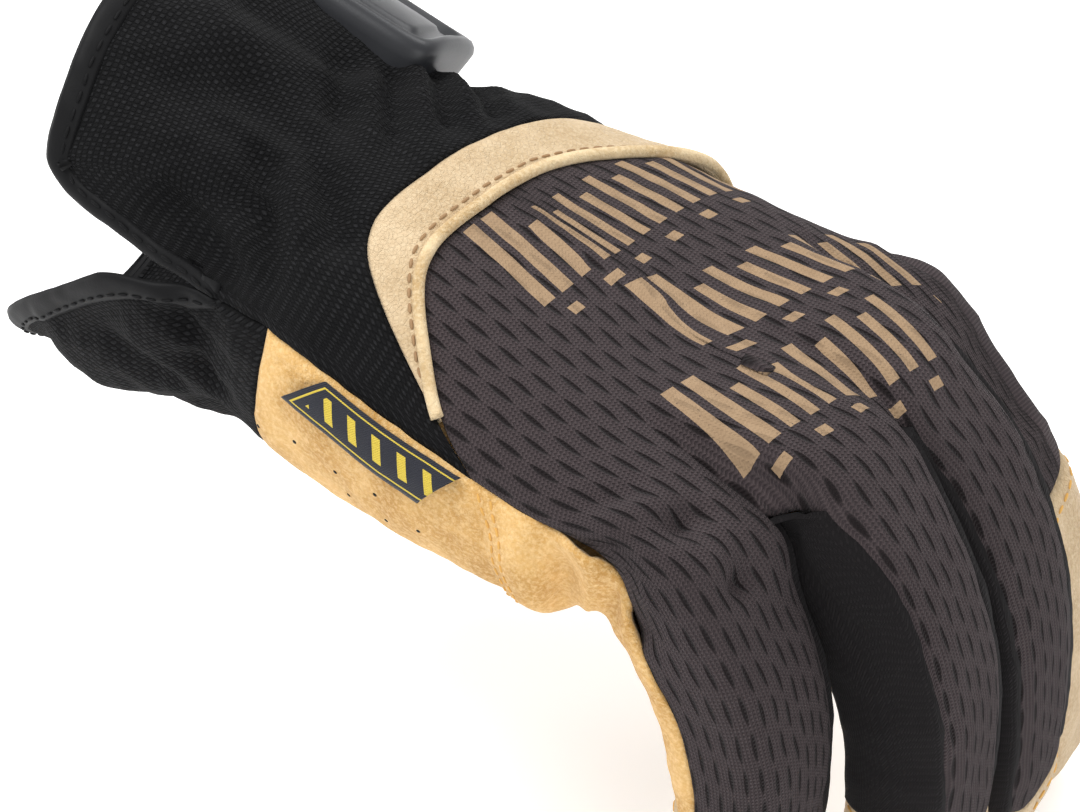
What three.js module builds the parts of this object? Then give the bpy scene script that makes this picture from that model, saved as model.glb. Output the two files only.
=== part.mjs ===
import * as THREE from "three";

// Right-hand work glove, filled as a hand fills it. Millimetres, +X from cuff to knuckles,
// +Y towards the thumb, +Z out of the back of the hand. The origin is the middle of the cuff mouth.

// Sizes
const MOUTH = { x: 13, y: -3, z: -14 };
const SEAM_GAP = 0.16;
const WALL_GAP = 0.52;
const WALL = { knit: 1.6, palm: 1.8, side: 1.2, cap: 1.6, cuff: 1.5, binding: 2.4, band: 1.8, thumb: 1.6 };
const FINGER_POWER = 3.6;
const TIP_ROUND = 13;
const BACK_STEPS = 5;
const PALM_STEPS = 5;
const SIDE_STEPS = 4;
const FINGER_ROWS = 7;
const KNUCKLE_ROWS = 4;
const BINDING_WIDTH = 5;
const GATHER = { x: 66, spread: 12, depth: 1.7, count: 22 };
const THUMB = { half: [14, 11.5], length: 70, pitch: [30, 40, 52], yaw: [72, 30, 6] };
const CUFF_ROWS = 7;

// Hand sections: x, centre y, centre z, half width, rise over centre, drop under centre, roundness power
const HAND = [
  [8, -2, -10, 38, 40, 50, 2.1],
  [20, -3, -11, 37, 38, 48, 2.1],
  [32, -5, -13, 35.5, 35, 44.5, 2.1],
  [44, -7, -14, 34.5, 32.5, 40.5, 2.1],
  [54, -8.5, -16, 34, 29.5, 37, 2.15],
  [64, -8.5, -18, 34.5, 27.5, 34.5, 2.2],
  [76, -8, -20, 38, 26.5, 32.5, 2.3],
  [90, -7, -22, 41.5, 25.5, 30.5, 2.4],
  [104, -6.5, -24, 43.8, 23, 28, 2.5],
  [118, -5.5, -25.5, 45.6, 20.5, 25.5, 2.7],
  [132, -5, -27, 46.5, 19, 23, 2.9],
];

// Fingers, little to index: root centre, yaw, half widths and half depths root to tip, length,
// pitch below level at even steps, where the tip cap starts on back, thumb side, palm, little side
const FINGERS = [
  { name: "little", at: [151, -38.5, -30], yaw: -2, w: [12.4, 12], d: [13.5, 10.5], len: 76, pitch: [46, 64, 84, 93, 98], cap: [62, 56, 40, 52] },
  { name: "ring", at: [165, -13.3, -26], yaw: -1, w: [12, 11.8], d: [13.5, 10.5], len: 88, pitch: [44, 62, 80, 92, 98], cap: [73, 68, 60, 63] },
  { name: "middle", at: [164, 11.7, -27], yaw: 0, w: [12, 11.8], d: [13.5, 10.5], len: 99, pitch: [44, 62, 80, 92, 98], cap: [84, 76, 70, 78] },
  { name: "index", at: [151, 36.6, -37], yaw: 1, w: [12, 11.8], d: [13.5, 10.5], len: 104, pitch: [42, 54, 73, 89, 97], cap: [37, 31, 66, 54] },
];

// Seam between back and palm on the little-finger side: x, turn
const SIDE_SEAM = [[8, 0.05], [62, 0.05], [77, 0.066], [91, 0.064], [105, 0.062], [120, 0.054], [132, 0.045]];
// Edges of the pale wrist band: turn, x of the cuff side; turn, x of the knuckle side
const BAND_CUFF_EDGE = [
  [0.0545, 119.7], [0.093, 111], [0.128, 100.6], [0.158, 90.5], [0.183, 85.6], [0.221, 85.3],
  [0.256, 87.5], [0.301, 90.5], [0.358, 94.6], [0.41, 101], [0.5, 106],
];
const BAND_HAND_EDGE = [
  [0.0545, 119.7], [0.093, 111.6], [0.121, 107.4], [0.147, 103.2], [0.175, 98], [0.197, 96.1], [0.225, 96.3],
  [0.256, 98.4], [0.299, 101.7], [0.354, 109.2], [0.41, 115], [0.5, 119],
];
// Rear edge of the palm leather: turn, x
const PALM_REAR = [[-0.5, 80], [-0.35, 76], [-0.2, 74], [-0.05, 75], [0.02, 77], [0.06, 77.4]];
// Hem from the notch over the back, and from the notch under the palm: x, turn
const HEM_BACK = [
  [62.5, 0.05], [54, 0.0485], [45, 0.049], [37, 0.053], [31.5, 0.064], [29.6, 0.079], [29.4, 0.128],
  [28.4, 0.203], [28, 0.3], [26.5, 0.4], [24, 0.5],
];
const HEM_PALM = [
  [62.5, 0.05], [54, 0.03], [43, 0.004], [32, -0.03], [22, -0.065], [15.5, -0.095], [13.2, -0.125],
  [12.8, -0.2], [13.5, -0.3], [17, -0.4], [24, -0.5],
];
// Folds pressed into the walls: first end, second end, width, depth (below zero stands out)
const FOLDS = [
  { a: [136, -52, -24], b: [139, -50, -44], width: 3.2, depth: 3.0 },
  { a: [131, -53, -28], b: [133, -50, -47], width: 3.0, depth: -1.6 },
  { a: [143, -53, -30], b: [147, -50, -46], width: 2.6, depth: 2.2 },
  { a: [140, -53, -26], b: [143, -50, -48], width: 2.2, depth: -1.4 },
  { a: [147, -52, -36], b: [160, -40, -24], width: 2.4, depth: 1.4 },
  { a: [143, -51, -22], b: [158, -38, -14], width: 2.8, depth: 1.2 },
  { a: [70, -38, 4], b: [84, -30, 3], width: 3.0, depth: 1.2 },
  { a: [50, -38, 0], b: [66, -30, 10], width: 4.0, depth: 1.8 },
  { a: [40, -40, -30], b: [70, -42, -36], width: 3.5, depth: 2.0 },
  { a: [44, -36, -42], b: [72, -42, -28], width: 3.0, depth: -1.4 },
];

// Curve helpers
const lerp = (a, b, t) => a + (b - a) * t;
const signedPower = (v, e) => Math.sign(v) * Math.abs(v) ** e;
function table(rows, key, value, at) {
  const up = rows[rows.length - 1][key] > rows[0][key];
  const list = up ? rows : [...rows].reverse();
  if (at <= list[0][key]) return list[0][value];
  for (let k = 1; k < list.length; k += 1) {
    if (at <= list[k][key]) {
      const t = (at - list[k - 1][key]) / (list[k][key] - list[k - 1][key]);
      return lerp(list[k - 1][value], list[k][value], t);
    }
  }
  return list[list.length - 1][value];
}
function spline(rows, u) {
  const last = rows.length - 1;
  const i = Math.min(Math.max(Math.floor(u), 0), last - 1);
  const f = u - i;
  return rows[0].map((unused, c) => {
    const p1 = rows[i][c];
    const p2 = rows[i + 1][c];
    const p0 = i > 0 ? rows[i - 1][c] : 2 * p1 - p2;
    const p3 = i < last - 1 ? rows[i + 2][c] : 2 * p2 - p1;
    return 0.5 * (2 * p1 + (p2 - p0) * f + (2 * p0 - 5 * p1 + 4 * p2 - p3) * f * f
      + (3 * p1 - p0 - 3 * p2 + p3) * f * f * f);
  });
}
function handRow(x) {
  let low = 0;
  let high = HAND.length - 1;
  for (let k = 0; k < 40; k += 1) {
    const mid = (low + high) / 2;
    if (spline(HAND, mid)[0] < x) low = mid;
    else high = mid;
  }
  return spline(HAND, low);
}

// Surface of the hand: x along, turn around from the little-finger side over the back
function handPoint(x, turn) {
  const [, cy, cz, half, rise, drop, power] = handRow(x);
  const angle = 2 * Math.PI * turn;
  const across = -signedPower(Math.cos(angle), 2 / power);
  const up = signedPower(Math.sin(angle), 2 / power);
  const near = Math.exp(-(((x - GATHER.x) / GATHER.spread) ** 2));
  const inCuff = Math.min(Math.max((75 - x) / 12, 0), 1);
  const offSeam = Math.min(1, Math.abs(turn - 0.055) / 0.04);
  const wave = 0.5 + 0.5 * Math.cos(GATHER.count * angle);
  const pleat = GATHER.depth * near * inCuff * offSeam * wave;
  const k = 1 - pleat / 34;
  return new THREE.Vector3(x, cy + half * across * k, cz + (up > 0 ? rise : drop) * up * k);
}

// Middle line of each finger with its frame
const fingerLines = FINGERS.map((finger) => {
  const count = 120;
  const yaw = THREE.MathUtils.degToRad(finger.yaw);
  const line = [];
  const at = new THREE.Vector3(...finger.at);
  for (let k = 0; k <= count; k += 1) {
    const pitch = THREE.MathUtils.degToRad(spline(finger.pitch.map((p) => [p]), (k / count) * 4)[0]);
    const along = new THREE.Vector3(Math.cos(pitch) * Math.cos(yaw), Math.sin(yaw), -Math.sin(pitch) * Math.cos(yaw));
    along.normalize();
    const out = new THREE.Vector3(Math.sin(pitch), 0, Math.cos(pitch));
    out.addScaledVector(along, -out.dot(along)).normalize();
    const side = new THREE.Vector3().crossVectors(out, along);
    if (side.y < 0) side.negate();
    line.push({ at: at.clone(), along, out, side });
    at.addScaledVector(along, finger.len / count);
  }
  return line;
});
function fingerPoint(index, s, turn) {
  const finger = FINGERS[index];
  const line = fingerLines[index];
  const place = Math.min(Math.max(s / finger.len, 0), 1) * (line.length - 1);
  const k = Math.min(Math.floor(place), line.length - 2);
  const f = place - k;
  const at = line[k].at.clone().lerp(line[k + 1].at, f);
  const out = line[k].out.clone().lerp(line[k + 1].out, f);
  const side = line[k].side.clone().lerp(line[k + 1].side, f);
  const share = s / finger.len;
  const close = Math.min(Math.max((s - finger.len + TIP_ROUND) / TIP_ROUND, 0), 1);
  const shrink = Math.sqrt(Math.max(0, 1 - close ** 2.4));
  const angle = 2 * Math.PI * turn;
  const half = lerp(finger.w[0], finger.w[1], share) * shrink;
  const deep = lerp(finger.d[0], finger.d[1], Math.min(1, share * 1.6)) * shrink;
  at.addScaledVector(side, -signedPower(Math.cos(angle), 2 / FINGER_POWER) * half);
  return at.addScaledVector(out, signedPower(Math.sin(angle), 2 / FINGER_POWER) * deep);
}

// Columns that run from the hand onto the fingers, over the back and under the palm
const END_X = HAND[HAND.length - 1][0];
function turnOf(y, above) {
  const [, cy, , half, , , power] = HAND[HAND.length - 1];
  const part = Math.min(Math.max((y - cy) / half, -1), 1);
  const turn = Math.acos(-signedPower(part, power / 2)) / (2 * Math.PI);
  return above ? turn : -turn;
}
function makeColumns(above) {
  const columns = [];
  const steps = above ? BACK_STEPS : PALM_STEPS;
  FINGERS.forEach((finger, index) => {
    for (let k = 0; k <= steps; k += 1) {
      const turn = above ? lerp(0.1, 0.4, k / steps) : lerp(-0.1, -0.4, k / steps);
      const y = fingerPoint(index, 0, turn).y;
      if (k === 0 && index > 0) {
        const web = columns[columns.length - 1];
        web.ends.push([index, turn]);
        web.hand = turnOf((fingerPoint(index - 1, 0, above ? 0.4 : -0.4).y + y) / 2, above);
      } else columns.push({ hand: turnOf(y, above), ends: [[index, turn]] });
    }
  });
  const seam = table(SIDE_SEAM, 0, 1, END_X);
  if (above) {
    const first = columns[0].hand;
    for (let k = 2; k >= 0; k -= 1) {
      columns.unshift({ hand: lerp(seam, first, k / 3), ends: [[0, lerp(-0.1, 0.1, k / 3)]] });
    }
    const last = columns[columns.length - 1].hand;
    for (let k = 1; k <= 2; k += 1) {
      columns.push({ hand: lerp(last, 0.5, k / 2), ends: [[3, lerp(0.4, 0.5, k / 2)]] });
    }
  } else {
    const first = seam;
    const wide = columns[PALM_STEPS].hand;
    for (let k = 0; k < PALM_STEPS; k += 1) columns[k].hand = lerp(first, wide, k / PALM_STEPS);
    const last = columns[columns.length - 1].hand;
    for (let k = 1; k <= 2; k += 1) {
      columns.push({ hand: lerp(last, -0.5, k / 2), ends: [[3, lerp(-0.4, -0.5, k / 2)]] });
    }
  }
  columns.forEach((column) => {
    column.share = above ? (column.hand - seam) / (0.5 - seam) : (seam - column.hand) / (0.5 + seam);
  });
  return columns;
}
function turnAt(share, x, above) {
  const seam = table(SIDE_SEAM, 0, 1, x);
  return above ? lerp(seam, 0.5, share) : lerp(seam, -0.5, share);
}
const setOutward = [];
function columnEnd(column) {
  const point = new THREE.Vector3();
  const along = new THREE.Vector3();
  column.ends.forEach(([index, turn]) => {
    point.addScaledVector(fingerPoint(index, 0, turn), 1 / column.ends.length);
    along.addScaledVector(fingerLines[index][0].along, 1 / column.ends.length);
  });
  return { point, along };
}
function webOutward(index, point, f) {
  const along = fingerLines[index][0].along.clone().add(fingerLines[index + 1][0].along).normalize();
  const out = fingerLines[index][0].out.clone().add(fingerLines[index + 1][0].out).normalize();
  setOutward.push({ point: point.clone(), way: along.addScaledVector(out, 1 - 2 * f).normalize() });
}
function knucklePoint(column, t, above) {
  const start = handPoint(END_X, turnAt(column.share, END_X, above));
  const before = handPoint(END_X - 4, turnAt(column.share, END_X - 4, above));
  const lead = start.clone().sub(before).normalize();
  const end = columnEnd(column);
  const reach = start.distanceTo(end.point);
  const a = 2 * t ** 3 - 3 * t ** 2 + 1;
  const b = t ** 3 - 2 * t ** 2 + t;
  const c = -2 * t ** 3 + 3 * t ** 2;
  const d = t ** 3 - t ** 2;
  return new THREE.Vector3()
    .addScaledVector(start, a)
    .addScaledVector(lead, b * reach)
    .addScaledVector(end.point, c)
    .addScaledVector(end.along, d * reach);
}

// One welded skin, its faces labelled by piece
const points = [];
const welded = new Map();
const faces = [];
function weld(p) {
  const key = [p.x, p.y, p.z].map((v) => Math.round(v * 500)).join(",");
  if (!welded.has(key)) {
    welded.set(key, points.length);
    points.push(p.clone());
  }
  return welded.get(key);
}
function addFace(piece, corners, flip) {
  const ring = corners.filter((v, k) => v !== corners[(k + 1) % corners.length]);
  if (new Set(ring).size !== ring.length || ring.length < 3) return;
  faces.push({ piece, ring: flip ? [...ring].reverse() : ring });
}
function addGrid(piece, grid, flip) {
  for (let i = 0; i + 1 < grid.length; i += 1) {
    for (let j = 0; j + 1 < grid[i].length; j += 1) {
      addFace(piece, [grid[i][j], grid[i + 1][j], grid[i + 1][j + 1], grid[i][j + 1]].map(weld), flip);
    }
  }
}

// Back and palm over the hand and the knuckles
const backColumns = makeColumns(true);
const palmColumns = makeColumns(false);
const spread = (a, b, n) => Array.from({ length: n + 1 }, (unused, k) => lerp(a, b, k / n));
function handStrip(column, above, from, to, rows) {
  return spread(from, to, rows).map((x) => handPoint(x, turnAt(column.share, x, above)));
}
function knuckleStrip(column, above) {
  return spread(0, 1, KNUCKLE_ROWS).slice(1).map((t) => knucklePoint(column, t, above));
}
const transpose = (grid) => grid[0].map((unused, k) => grid.map((row) => row[k]));
function edgeAt(edge, share, above) {
  let x = edge[0][1];
  for (let k = 0; k < 12; k += 1) x = table(edge, 0, 1, turnAt(share, x, above));
  return x;
}
const handEdge = (share) => edgeAt(BAND_HAND_EDGE, share, true);
const cuffEdge = (share) => edgeAt(BAND_CUFF_EDGE, share, true);
const SPLIT_X = BAND_CUFF_EDGE[0][1];
const palmEdge = (share) => edgeAt(PALM_REAR, share, false);
addGrid("back_panel", transpose(backColumns.map((c) => (
  [...handStrip(c, true, handEdge(c.share), END_X, 5), ...knuckleStrip(c, true)]))), false);
const palmGrid = transpose(palmColumns.map((c) => (
  [...handStrip(c, false, palmEdge(c.share), SPLIT_X, 5), ...handStrip(c, false, SPLIT_X, END_X, 5).slice(1),
    ...knuckleStrip(c, false)])));
const thumbRows = [1, 5];
const thumbCols = [palmColumns.length - 8, palmColumns.length - 2];
for (let i = 0; i + 1 < palmGrid.length; i += 1) {
  for (let j = 0; j + 1 < palmGrid[i].length; j += 1) {
    const open = i >= thumbRows[0] && i < thumbRows[1] && j >= thumbCols[0] && j < thumbCols[1];
    if (!open) {
      addFace("palm_panel", [palmGrid[i][j], palmGrid[i + 1][j], palmGrid[i + 1][j + 1], palmGrid[i][j + 1]].map(weld), true);
    }
  }
}

// Fingers
function capStart(index, turn) {
  const [back, thumbSide, palm, littleSide] = FINGERS[index].cap;
  const t = ((turn % 1) + 1) % 1;
  const marks = [[0, littleSide], [0.25, back], [0.5, thumbSide], [0.75, palm], [1, littleSide]];
  return table(marks, 0, 1, t);
}
function fingerStrip(index, turn, start) {
  const end = capStart(index, turn);
  const rows = spread(0, end, FINGER_ROWS).slice(1).map((s) => fingerPoint(index, s, turn));
  return [start, ...rows];
}
FINGERS.forEach((finger, index) => {
  const over = backColumns.filter((c) => c.ends.some((e) => e[0] === index));
  const under = palmColumns.filter((c) => c.ends.some((e) => e[0] === index));
  const strip = (c) => fingerStrip(index, c.ends.find((e) => e[0] === index)[1], columnEnd(c).point);
  addGrid("back_panel", transpose(over.map(strip)), false);
  addGrid("palm_panel", transpose(under.map(strip)), true);
  const turns = [...over.map((c) => c.ends.find((e) => e[0] === index)[1])];
  const below = under.map((c) => c.ends.find((e) => e[0] === index)[1]);
  const right = index < 3 ? spread(0.4, 0.6, SIDE_STEPS).slice(1, -1) : [];
  const left = index > 0 ? spread(-0.1, 0.1, SIDE_STEPS).slice(1, -1) : [];
  const ring = [...turns, ...right, ...[...below].reverse().map((t) => t + 1), ...left.map((t) => t + 1)];
  if (index === 0) ring.pop();
  if (index === 3) ring.splice(turns.length, 1);
  const share = [0, 0.3, 0.6, 0.82, 0.95, 1];
  const closed = [...ring, ring[0]];
  addGrid(`tip_${finger.name}`, share.map((f) => closed.map((t) => (
    fingerPoint(index, lerp(capStart(index, t), finger.len, f), t)))), false);
});

// Walls between the fingers
for (let index = 0; index < 3; index += 1) {
  const backWeb = columnEnd(backColumns.find((c) => c.ends.length === 2 && c.ends[0][0] === index)).point;
  const palmWeb = columnEnd(palmColumns.find((c) => c.ends.length === 2 && c.ends[0][0] === index)).point;
  const strips = spread(0, 1, SIDE_STEPS).map((f) => {
    const a = lerp(0.4, 0.6, f);
    const b = lerp(0.1, -0.1, f);
    let web = fingerPoint(index, 0, a).add(fingerPoint(index + 1, 0, b)).multiplyScalar(0.5);
    if (f === 0) web = backWeb;
    if (f === 1) web = palmWeb;
    webOutward(index, web, f);
    const first = fingerStrip(index, a, web).reverse();
    const second = fingerStrip(index + 1, b, web).slice(1);
    return [...first, ...second];
  });
  addGrid(`wall_${FINGERS[index].name}_${FINGERS[index + 1].name}`, strips, false);
}

// Wrist band, cuff and bindings
const bandColumns = backColumns.map((c) => c.share).filter((share) => handEdge(share) - cuffEdge(share) > 1);
addGrid("wrist_band", transpose(bandColumns.map((share) => (
  spread(cuffEdge(share), handEdge(share), 3).map((x) => handPoint(x, turnAt(share, x, true)))))), false);
const ROUND = 262;
function hemCurve(rows, n) {
  const flat = rows.map(([x, turn]) => new THREE.Vector3(x, turn * ROUND, 0));
  const curve = new THREE.CatmullRomCurve3(flat, false, "centripetal");
  return spread(0, 1, n).map((t) => {
    const at = curve.getPointAt(t);
    const dir = curve.getTangentAt(t);
    return { at, dir };
  });
}
function cuffGrids(rows, above, n, edge, name) {
  const hem = hemCurve(rows, n);
  const bindingGrid = [[], [], []];
  const clothGrid = Array.from({ length: CUFF_ROWS + 1 }, () => []);
  const corner = PALM_REAR[PALM_REAR.length - 1][1];
  const start = rows[0][0] + BINDING_WIDTH;
  const split = (corner - start) / (SPLIT_X - start);
  const seamRows = [...spread(0, split, 2), ...spread(split, 1, 5).slice(1)];
  const evenRows = spread(0, 1, CUFF_ROWS);
  hem.forEach(({ at, dir }, k) => {
    const share = k / n;
    const inward = new THREE.Vector3(above ? dir.y : -dir.y, above ? -dir.x : dir.x, 0);
    if (k === 0 || k === n) inward.set(1, 0, 0);
    const place = (d) => {
      const p = at.clone().addScaledVector(inward, d);
      const turn = k === 0 ? table(SIDE_SEAM, 0, 1, p.x) : p.y / ROUND;
      return [p.x, turn];
    };
    [0, BINDING_WIDTH / 2, BINDING_WIDTH].forEach((d, row) => bindingGrid[row].push(handPoint(...place(d))));
    const [x0, turn0] = place(BINDING_WIDTH);
    const reach = share ** 0.8;
    const x1 = edge(reach) - 0.6 * Math.min(1, share * 30);
    const turn1 = turnAt(reach, x1, above);
    const even = above ? Math.min(1, share * 5) : 1;
    for (let row = 0; row <= CUFF_ROWS; row += 1) {
      const f = lerp(seamRows[row], evenRows[row], even);
      const x = lerp(x0, x1, f);
      const bend = table(SIDE_SEAM, 0, 1, x) - lerp(table(SIDE_SEAM, 0, 1, x0), table(SIDE_SEAM, 0, 1, x1), f);
      clothGrid[row].push(handPoint(x, lerp(turn0, turn1, f) + bend * (1 - share) ** 3));
    }
  });
  addGrid(`cuff_${name}`, clothGrid, !above);
  addGrid(`binding_${name}`, bindingGrid, !above);
}
cuffGrids(HEM_BACK, true, 44, cuffEdge, "back");
cuffGrids(HEM_PALM, false, 34, palmEdge, "palm");

// Thumb, from the opening in the palm
const border = [];
for (let j = thumbCols[0]; j < thumbCols[1]; j += 1) border.push(palmGrid[thumbRows[0]][j]);
for (let i = thumbRows[0]; i < thumbRows[1]; i += 1) border.push(palmGrid[i][thumbCols[1]]);
for (let j = thumbCols[1]; j > thumbCols[0]; j -= 1) border.push(palmGrid[thumbRows[1]][j]);
for (let i = thumbRows[1]; i > thumbRows[0]; i -= 1) border.push(palmGrid[i][thumbCols[0]]);
const root = border.reduce((sum, p) => sum.add(p), new THREE.Vector3()).multiplyScalar(1 / border.length);
const thumbLine = [];
{
  const at = root.clone();
  for (let k = 0; k <= 24; k += 1) {
    const f = k / 24;
    const pitch = THREE.MathUtils.degToRad(spline(THUMB.pitch.map((p) => [p]), f * 2)[0]);
    const yaw = THREE.MathUtils.degToRad(spline(THUMB.yaw.map((p) => [p]), f * 2)[0]);
    const along = new THREE.Vector3(Math.cos(pitch) * Math.cos(yaw), Math.sin(yaw) * Math.cos(pitch), -Math.sin(pitch));
    thumbLine.push({ at: at.clone(), along });
    at.addScaledVector(along, THUMB.length / 24);
  }
}
const first = thumbLine[0].along;
const startSide = border[0].clone().sub(root);
const angles = border.map((p) => {
  const r = p.clone().sub(root);
  r.addScaledVector(first, -r.dot(first));
  return r;
});
const side0 = angles[0].clone().normalize();
const out0 = new THREE.Vector3().crossVectors(first, side0).normalize();
const around = border.map((p, k) => Math.atan2(angles[k].dot(out0), angles[k].dot(side0)));
const thumbShares = [0, 0.14, 0.3, 0.48, 0.66, 0.8, 0.9, 0.97, 1];
const thumbGrid = thumbShares.map((f) => {
  const place = Math.min(f * 24, 23.999);
  const k = Math.floor(place);
  const at = thumbLine[k].at.clone().lerp(thumbLine[k + 1].at, place - k);
  const along = thumbLine[k].along.clone().lerp(thumbLine[k + 1].along, place - k).normalize();
  const side = side0.clone().addScaledVector(along, -side0.dot(along)).normalize();
  const out = new THREE.Vector3().crossVectors(along, side);
  const close = Math.min(Math.max((f - 0.8) / 0.2, 0), 1);
  const radius = lerp(THUMB.half[0], THUMB.half[1], f) * Math.sqrt(Math.max(0, 1 - close ** 2.4));
  const blend = Math.max(0, 1 - f / 0.3) ** 1.5;
  const ring = border.map((p, n) => {
    const even = (n / border.length) * 2 * Math.PI * Math.sign(around[1] - around[0] || 1);
    const angle = around[0] + even;
    const q = at.clone().addScaledVector(side, Math.cos(angle) * radius).addScaledVector(out, Math.sin(angle) * radius);
    return q.lerp(p, blend);
  });
  return [...ring, ring[0]];
});
const half = border.length / 2;
const tipFrom = 5;
addGrid("thumb_front", thumbGrid.slice(0, tipFrom + 1).map((row) => row.slice(0, half + 1)), true);
addGrid("thumb_back", thumbGrid.slice(0, tipFrom + 1).map((row) => row.slice(half)), true);
addGrid("tip_thumb", thumbGrid.slice(tipFrom), true);

// Outward direction at every point of the skin
const outward = points.map(() => new THREE.Vector3());
faces.forEach(({ ring }) => {
  for (let k = 1; k + 1 < ring.length; k += 1) {
    const a = points[ring[0]];
    const u = points[ring[k]].clone().sub(a);
    const v = points[ring[k + 1]].clone().sub(a);
    const n = u.cross(v);
    [ring[0], ring[k], ring[k + 1]].forEach((i) => outward[i].add(n));
  }
});
outward.forEach((n) => n.normalize());
setOutward.forEach(({ point, way }) => outward[weld(point)].copy(way));

// Folds move the skin along its outward direction
function foldShift(p) {
  let shift = 0;
  FOLDS.forEach(({ a, b, width, depth }) => {
    const from = new THREE.Vector3(...a);
    const line = new THREE.Vector3(...b).sub(from);
    const t = Math.min(Math.max(p.clone().sub(from).dot(line) / line.lengthSq(), 0), 1);
    const away = p.distanceTo(from.addScaledVector(line, t));
    shift -= depth * Math.exp(-((away / width) ** 2));
  });
  return shift;
}
const moved = points.map((p, i) => p.clone().addScaledVector(outward[i], foldShift(p)));

// A piece: its faces, drawn back from their edge by half a seam gap, with an inner face
function shell(piece, wall, lift = 0, gap = SEAM_GAP) {
  const own = faces.filter((f) => f.piece === piece);
  const edges = new Map();
  own.forEach(({ ring }) => ring.forEach((v, k) => edges.set(`${v}_${ring[(k + 1) % ring.length]}`, [v, ring[(k + 1) % ring.length]])));
  const rim = [...edges.entries()].filter(([key]) => !edges.has(key.split("_").reverse().join("_"))).map((e) => e[1]);
  const pull = new Map();
  rim.forEach(([a, b]) => {
    const dir = moved[b].clone().sub(moved[a]).normalize();
    [a, b].forEach((v) => {
      const inward = new THREE.Vector3().crossVectors(outward[v], dir).normalize();
      if (!pull.has(v)) pull.set(v, []);
      pull.get(v).push(inward);
    });
  });
  const ids = new Map();
  const outer = [];
  const inner = [];
  own.forEach(({ ring }) => ring.forEach((v) => {
    if (ids.has(v)) return;
    ids.set(v, outer.length);
    const p = moved[v].clone();
    if (pull.has(v)) {
      const list = pull.get(v);
      const mean = list.reduce((s, n) => s.add(n), new THREE.Vector3()).normalize();
      const slant = Math.max(0.5, Math.abs(mean.dot(list[0])));
      p.addScaledVector(mean, gap / slant);
    }
    outer.push(p.clone().addScaledVector(outward[v], lift));
    inner.push(p.clone().addScaledVector(outward[v], -wall));
  }));
  const triangles = [];
  const count = outer.length;
  own.forEach(({ ring }) => {
    for (let k = 1; k + 1 < ring.length; k += 1) {
      const [a, b, c] = [ring[0], ring[k], ring[k + 1]].map((v) => ids.get(v));
      triangles.push([a, b, c], [a + count, c + count, b + count]);
    }
  });
  rim.forEach(([a, b]) => {
    const [i, j] = [ids.get(a), ids.get(b)];
    triangles.push([j, i, i + count], [j, i + count, j + count]);
  });
  return { vertices: [...outer, ...inner], triangles };
}

// A plate laid over the skin of the hand
function plate(corners, nx, ny, height, under) {
  const place = (u, v) => {
    const x = lerp(lerp(corners[0][0], corners[1][0], u), lerp(corners[3][0], corners[2][0], u), v);
    const turn = lerp(lerp(corners[0][1], corners[1][1], u), lerp(corners[3][1], corners[2][1], u), v);
    const p = handPoint(x, turn);
    const du = handPoint(x + 0.5, turn).sub(handPoint(x - 0.5, turn));
    const dv = handPoint(x, turn + 0.002).sub(handPoint(x, turn - 0.002));
    const n = du.cross(dv).normalize();
    p.addScaledVector(n, foldShift(p));
    return { p, n };
  };
  const outer = [];
  const inner = [];
  for (let i = 0; i <= nx; i += 1) {
    for (let j = 0; j <= ny; j += 1) {
      const { p, n } = place(i / nx, j / ny);
      outer.push(p.clone().addScaledVector(n, height(i / nx, j / ny)));
      inner.push(p.clone().addScaledVector(n, under));
    }
  }
  const count = outer.length;
  const id = (i, j) => i * (ny + 1) + j;
  const triangles = [];
  for (let i = 0; i < nx; i += 1) {
    for (let j = 0; j < ny; j += 1) {
      const [a, b, c, d] = [id(i, j), id(i + 1, j), id(i + 1, j + 1), id(i, j + 1)];
      triangles.push([a, b, c], [a, c, d], [a + count, c + count, b + count], [a + count, d + count, c + count]);
    }
  }
  const rim = [];
  for (let i = 0; i < nx; i += 1) rim.push([id(i, 0), id(i + 1, 0)]);
  for (let j = 0; j < ny; j += 1) rim.push([id(nx, j), id(nx, j + 1)]);
  for (let i = nx; i > 0; i -= 1) rim.push([id(i, ny), id(i - 1, ny)]);
  for (let j = ny; j > 0; j -= 1) rim.push([id(0, j), id(0, j - 1)]);
  rim.forEach(([i, j]) => triangles.push([j, i, i + count], [j, i + count, j + count]));
  return { vertices: [...outer, ...inner], triangles };
}

// Named pieces with their materials
const LOOK = {
  knit: { color: 0x4a4246, roughness: 0.9, metalness: 0 },
  suede: { color: 0xd9a95a, roughness: 0.95, metalness: 0 },
  pale: { color: 0xdcc9a0, roughness: 0.7, metalness: 0 },
  stretch: { color: 0x17171a, roughness: 0.8, metalness: 0 },
  woven: { color: 0x202022, roughness: 0.95, metalness: 0 },
  tape: { color: 0x1c1c1e, roughness: 0.6, metalness: 0 },
  rubber: { color: 0x4a4b50, roughness: 0.4, metalness: 0 },
  label: { color: 0x1b1d28, roughness: 0.6, metalness: 0 },
};
const group = new THREE.Group();
group.name = "mechanic_glove";
function addPiece(name, look, { vertices, triangles }) {
  const flat = new Float32Array(triangles.length * 9);
  triangles.flat().forEach((v, k) => {
    flat[3 * k] = vertices[v].x - MOUTH.x;
    flat[3 * k + 1] = vertices[v].y - MOUTH.y;
    flat[3 * k + 2] = vertices[v].z - MOUTH.z;
  });
  const geometry = new THREE.BufferGeometry();
  geometry.setAttribute("position", new THREE.BufferAttribute(flat, 3));
  geometry.computeVertexNormals();
  const mesh = new THREE.Mesh(geometry, new THREE.MeshStandardMaterial(LOOK[look]));
  mesh.name = name;
  group.add(mesh);
}
addPiece("back_panel", "knit", shell("back_panel", WALL.knit));
addPiece("palm_panel", "suede", shell("palm_panel", WALL.palm));
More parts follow.
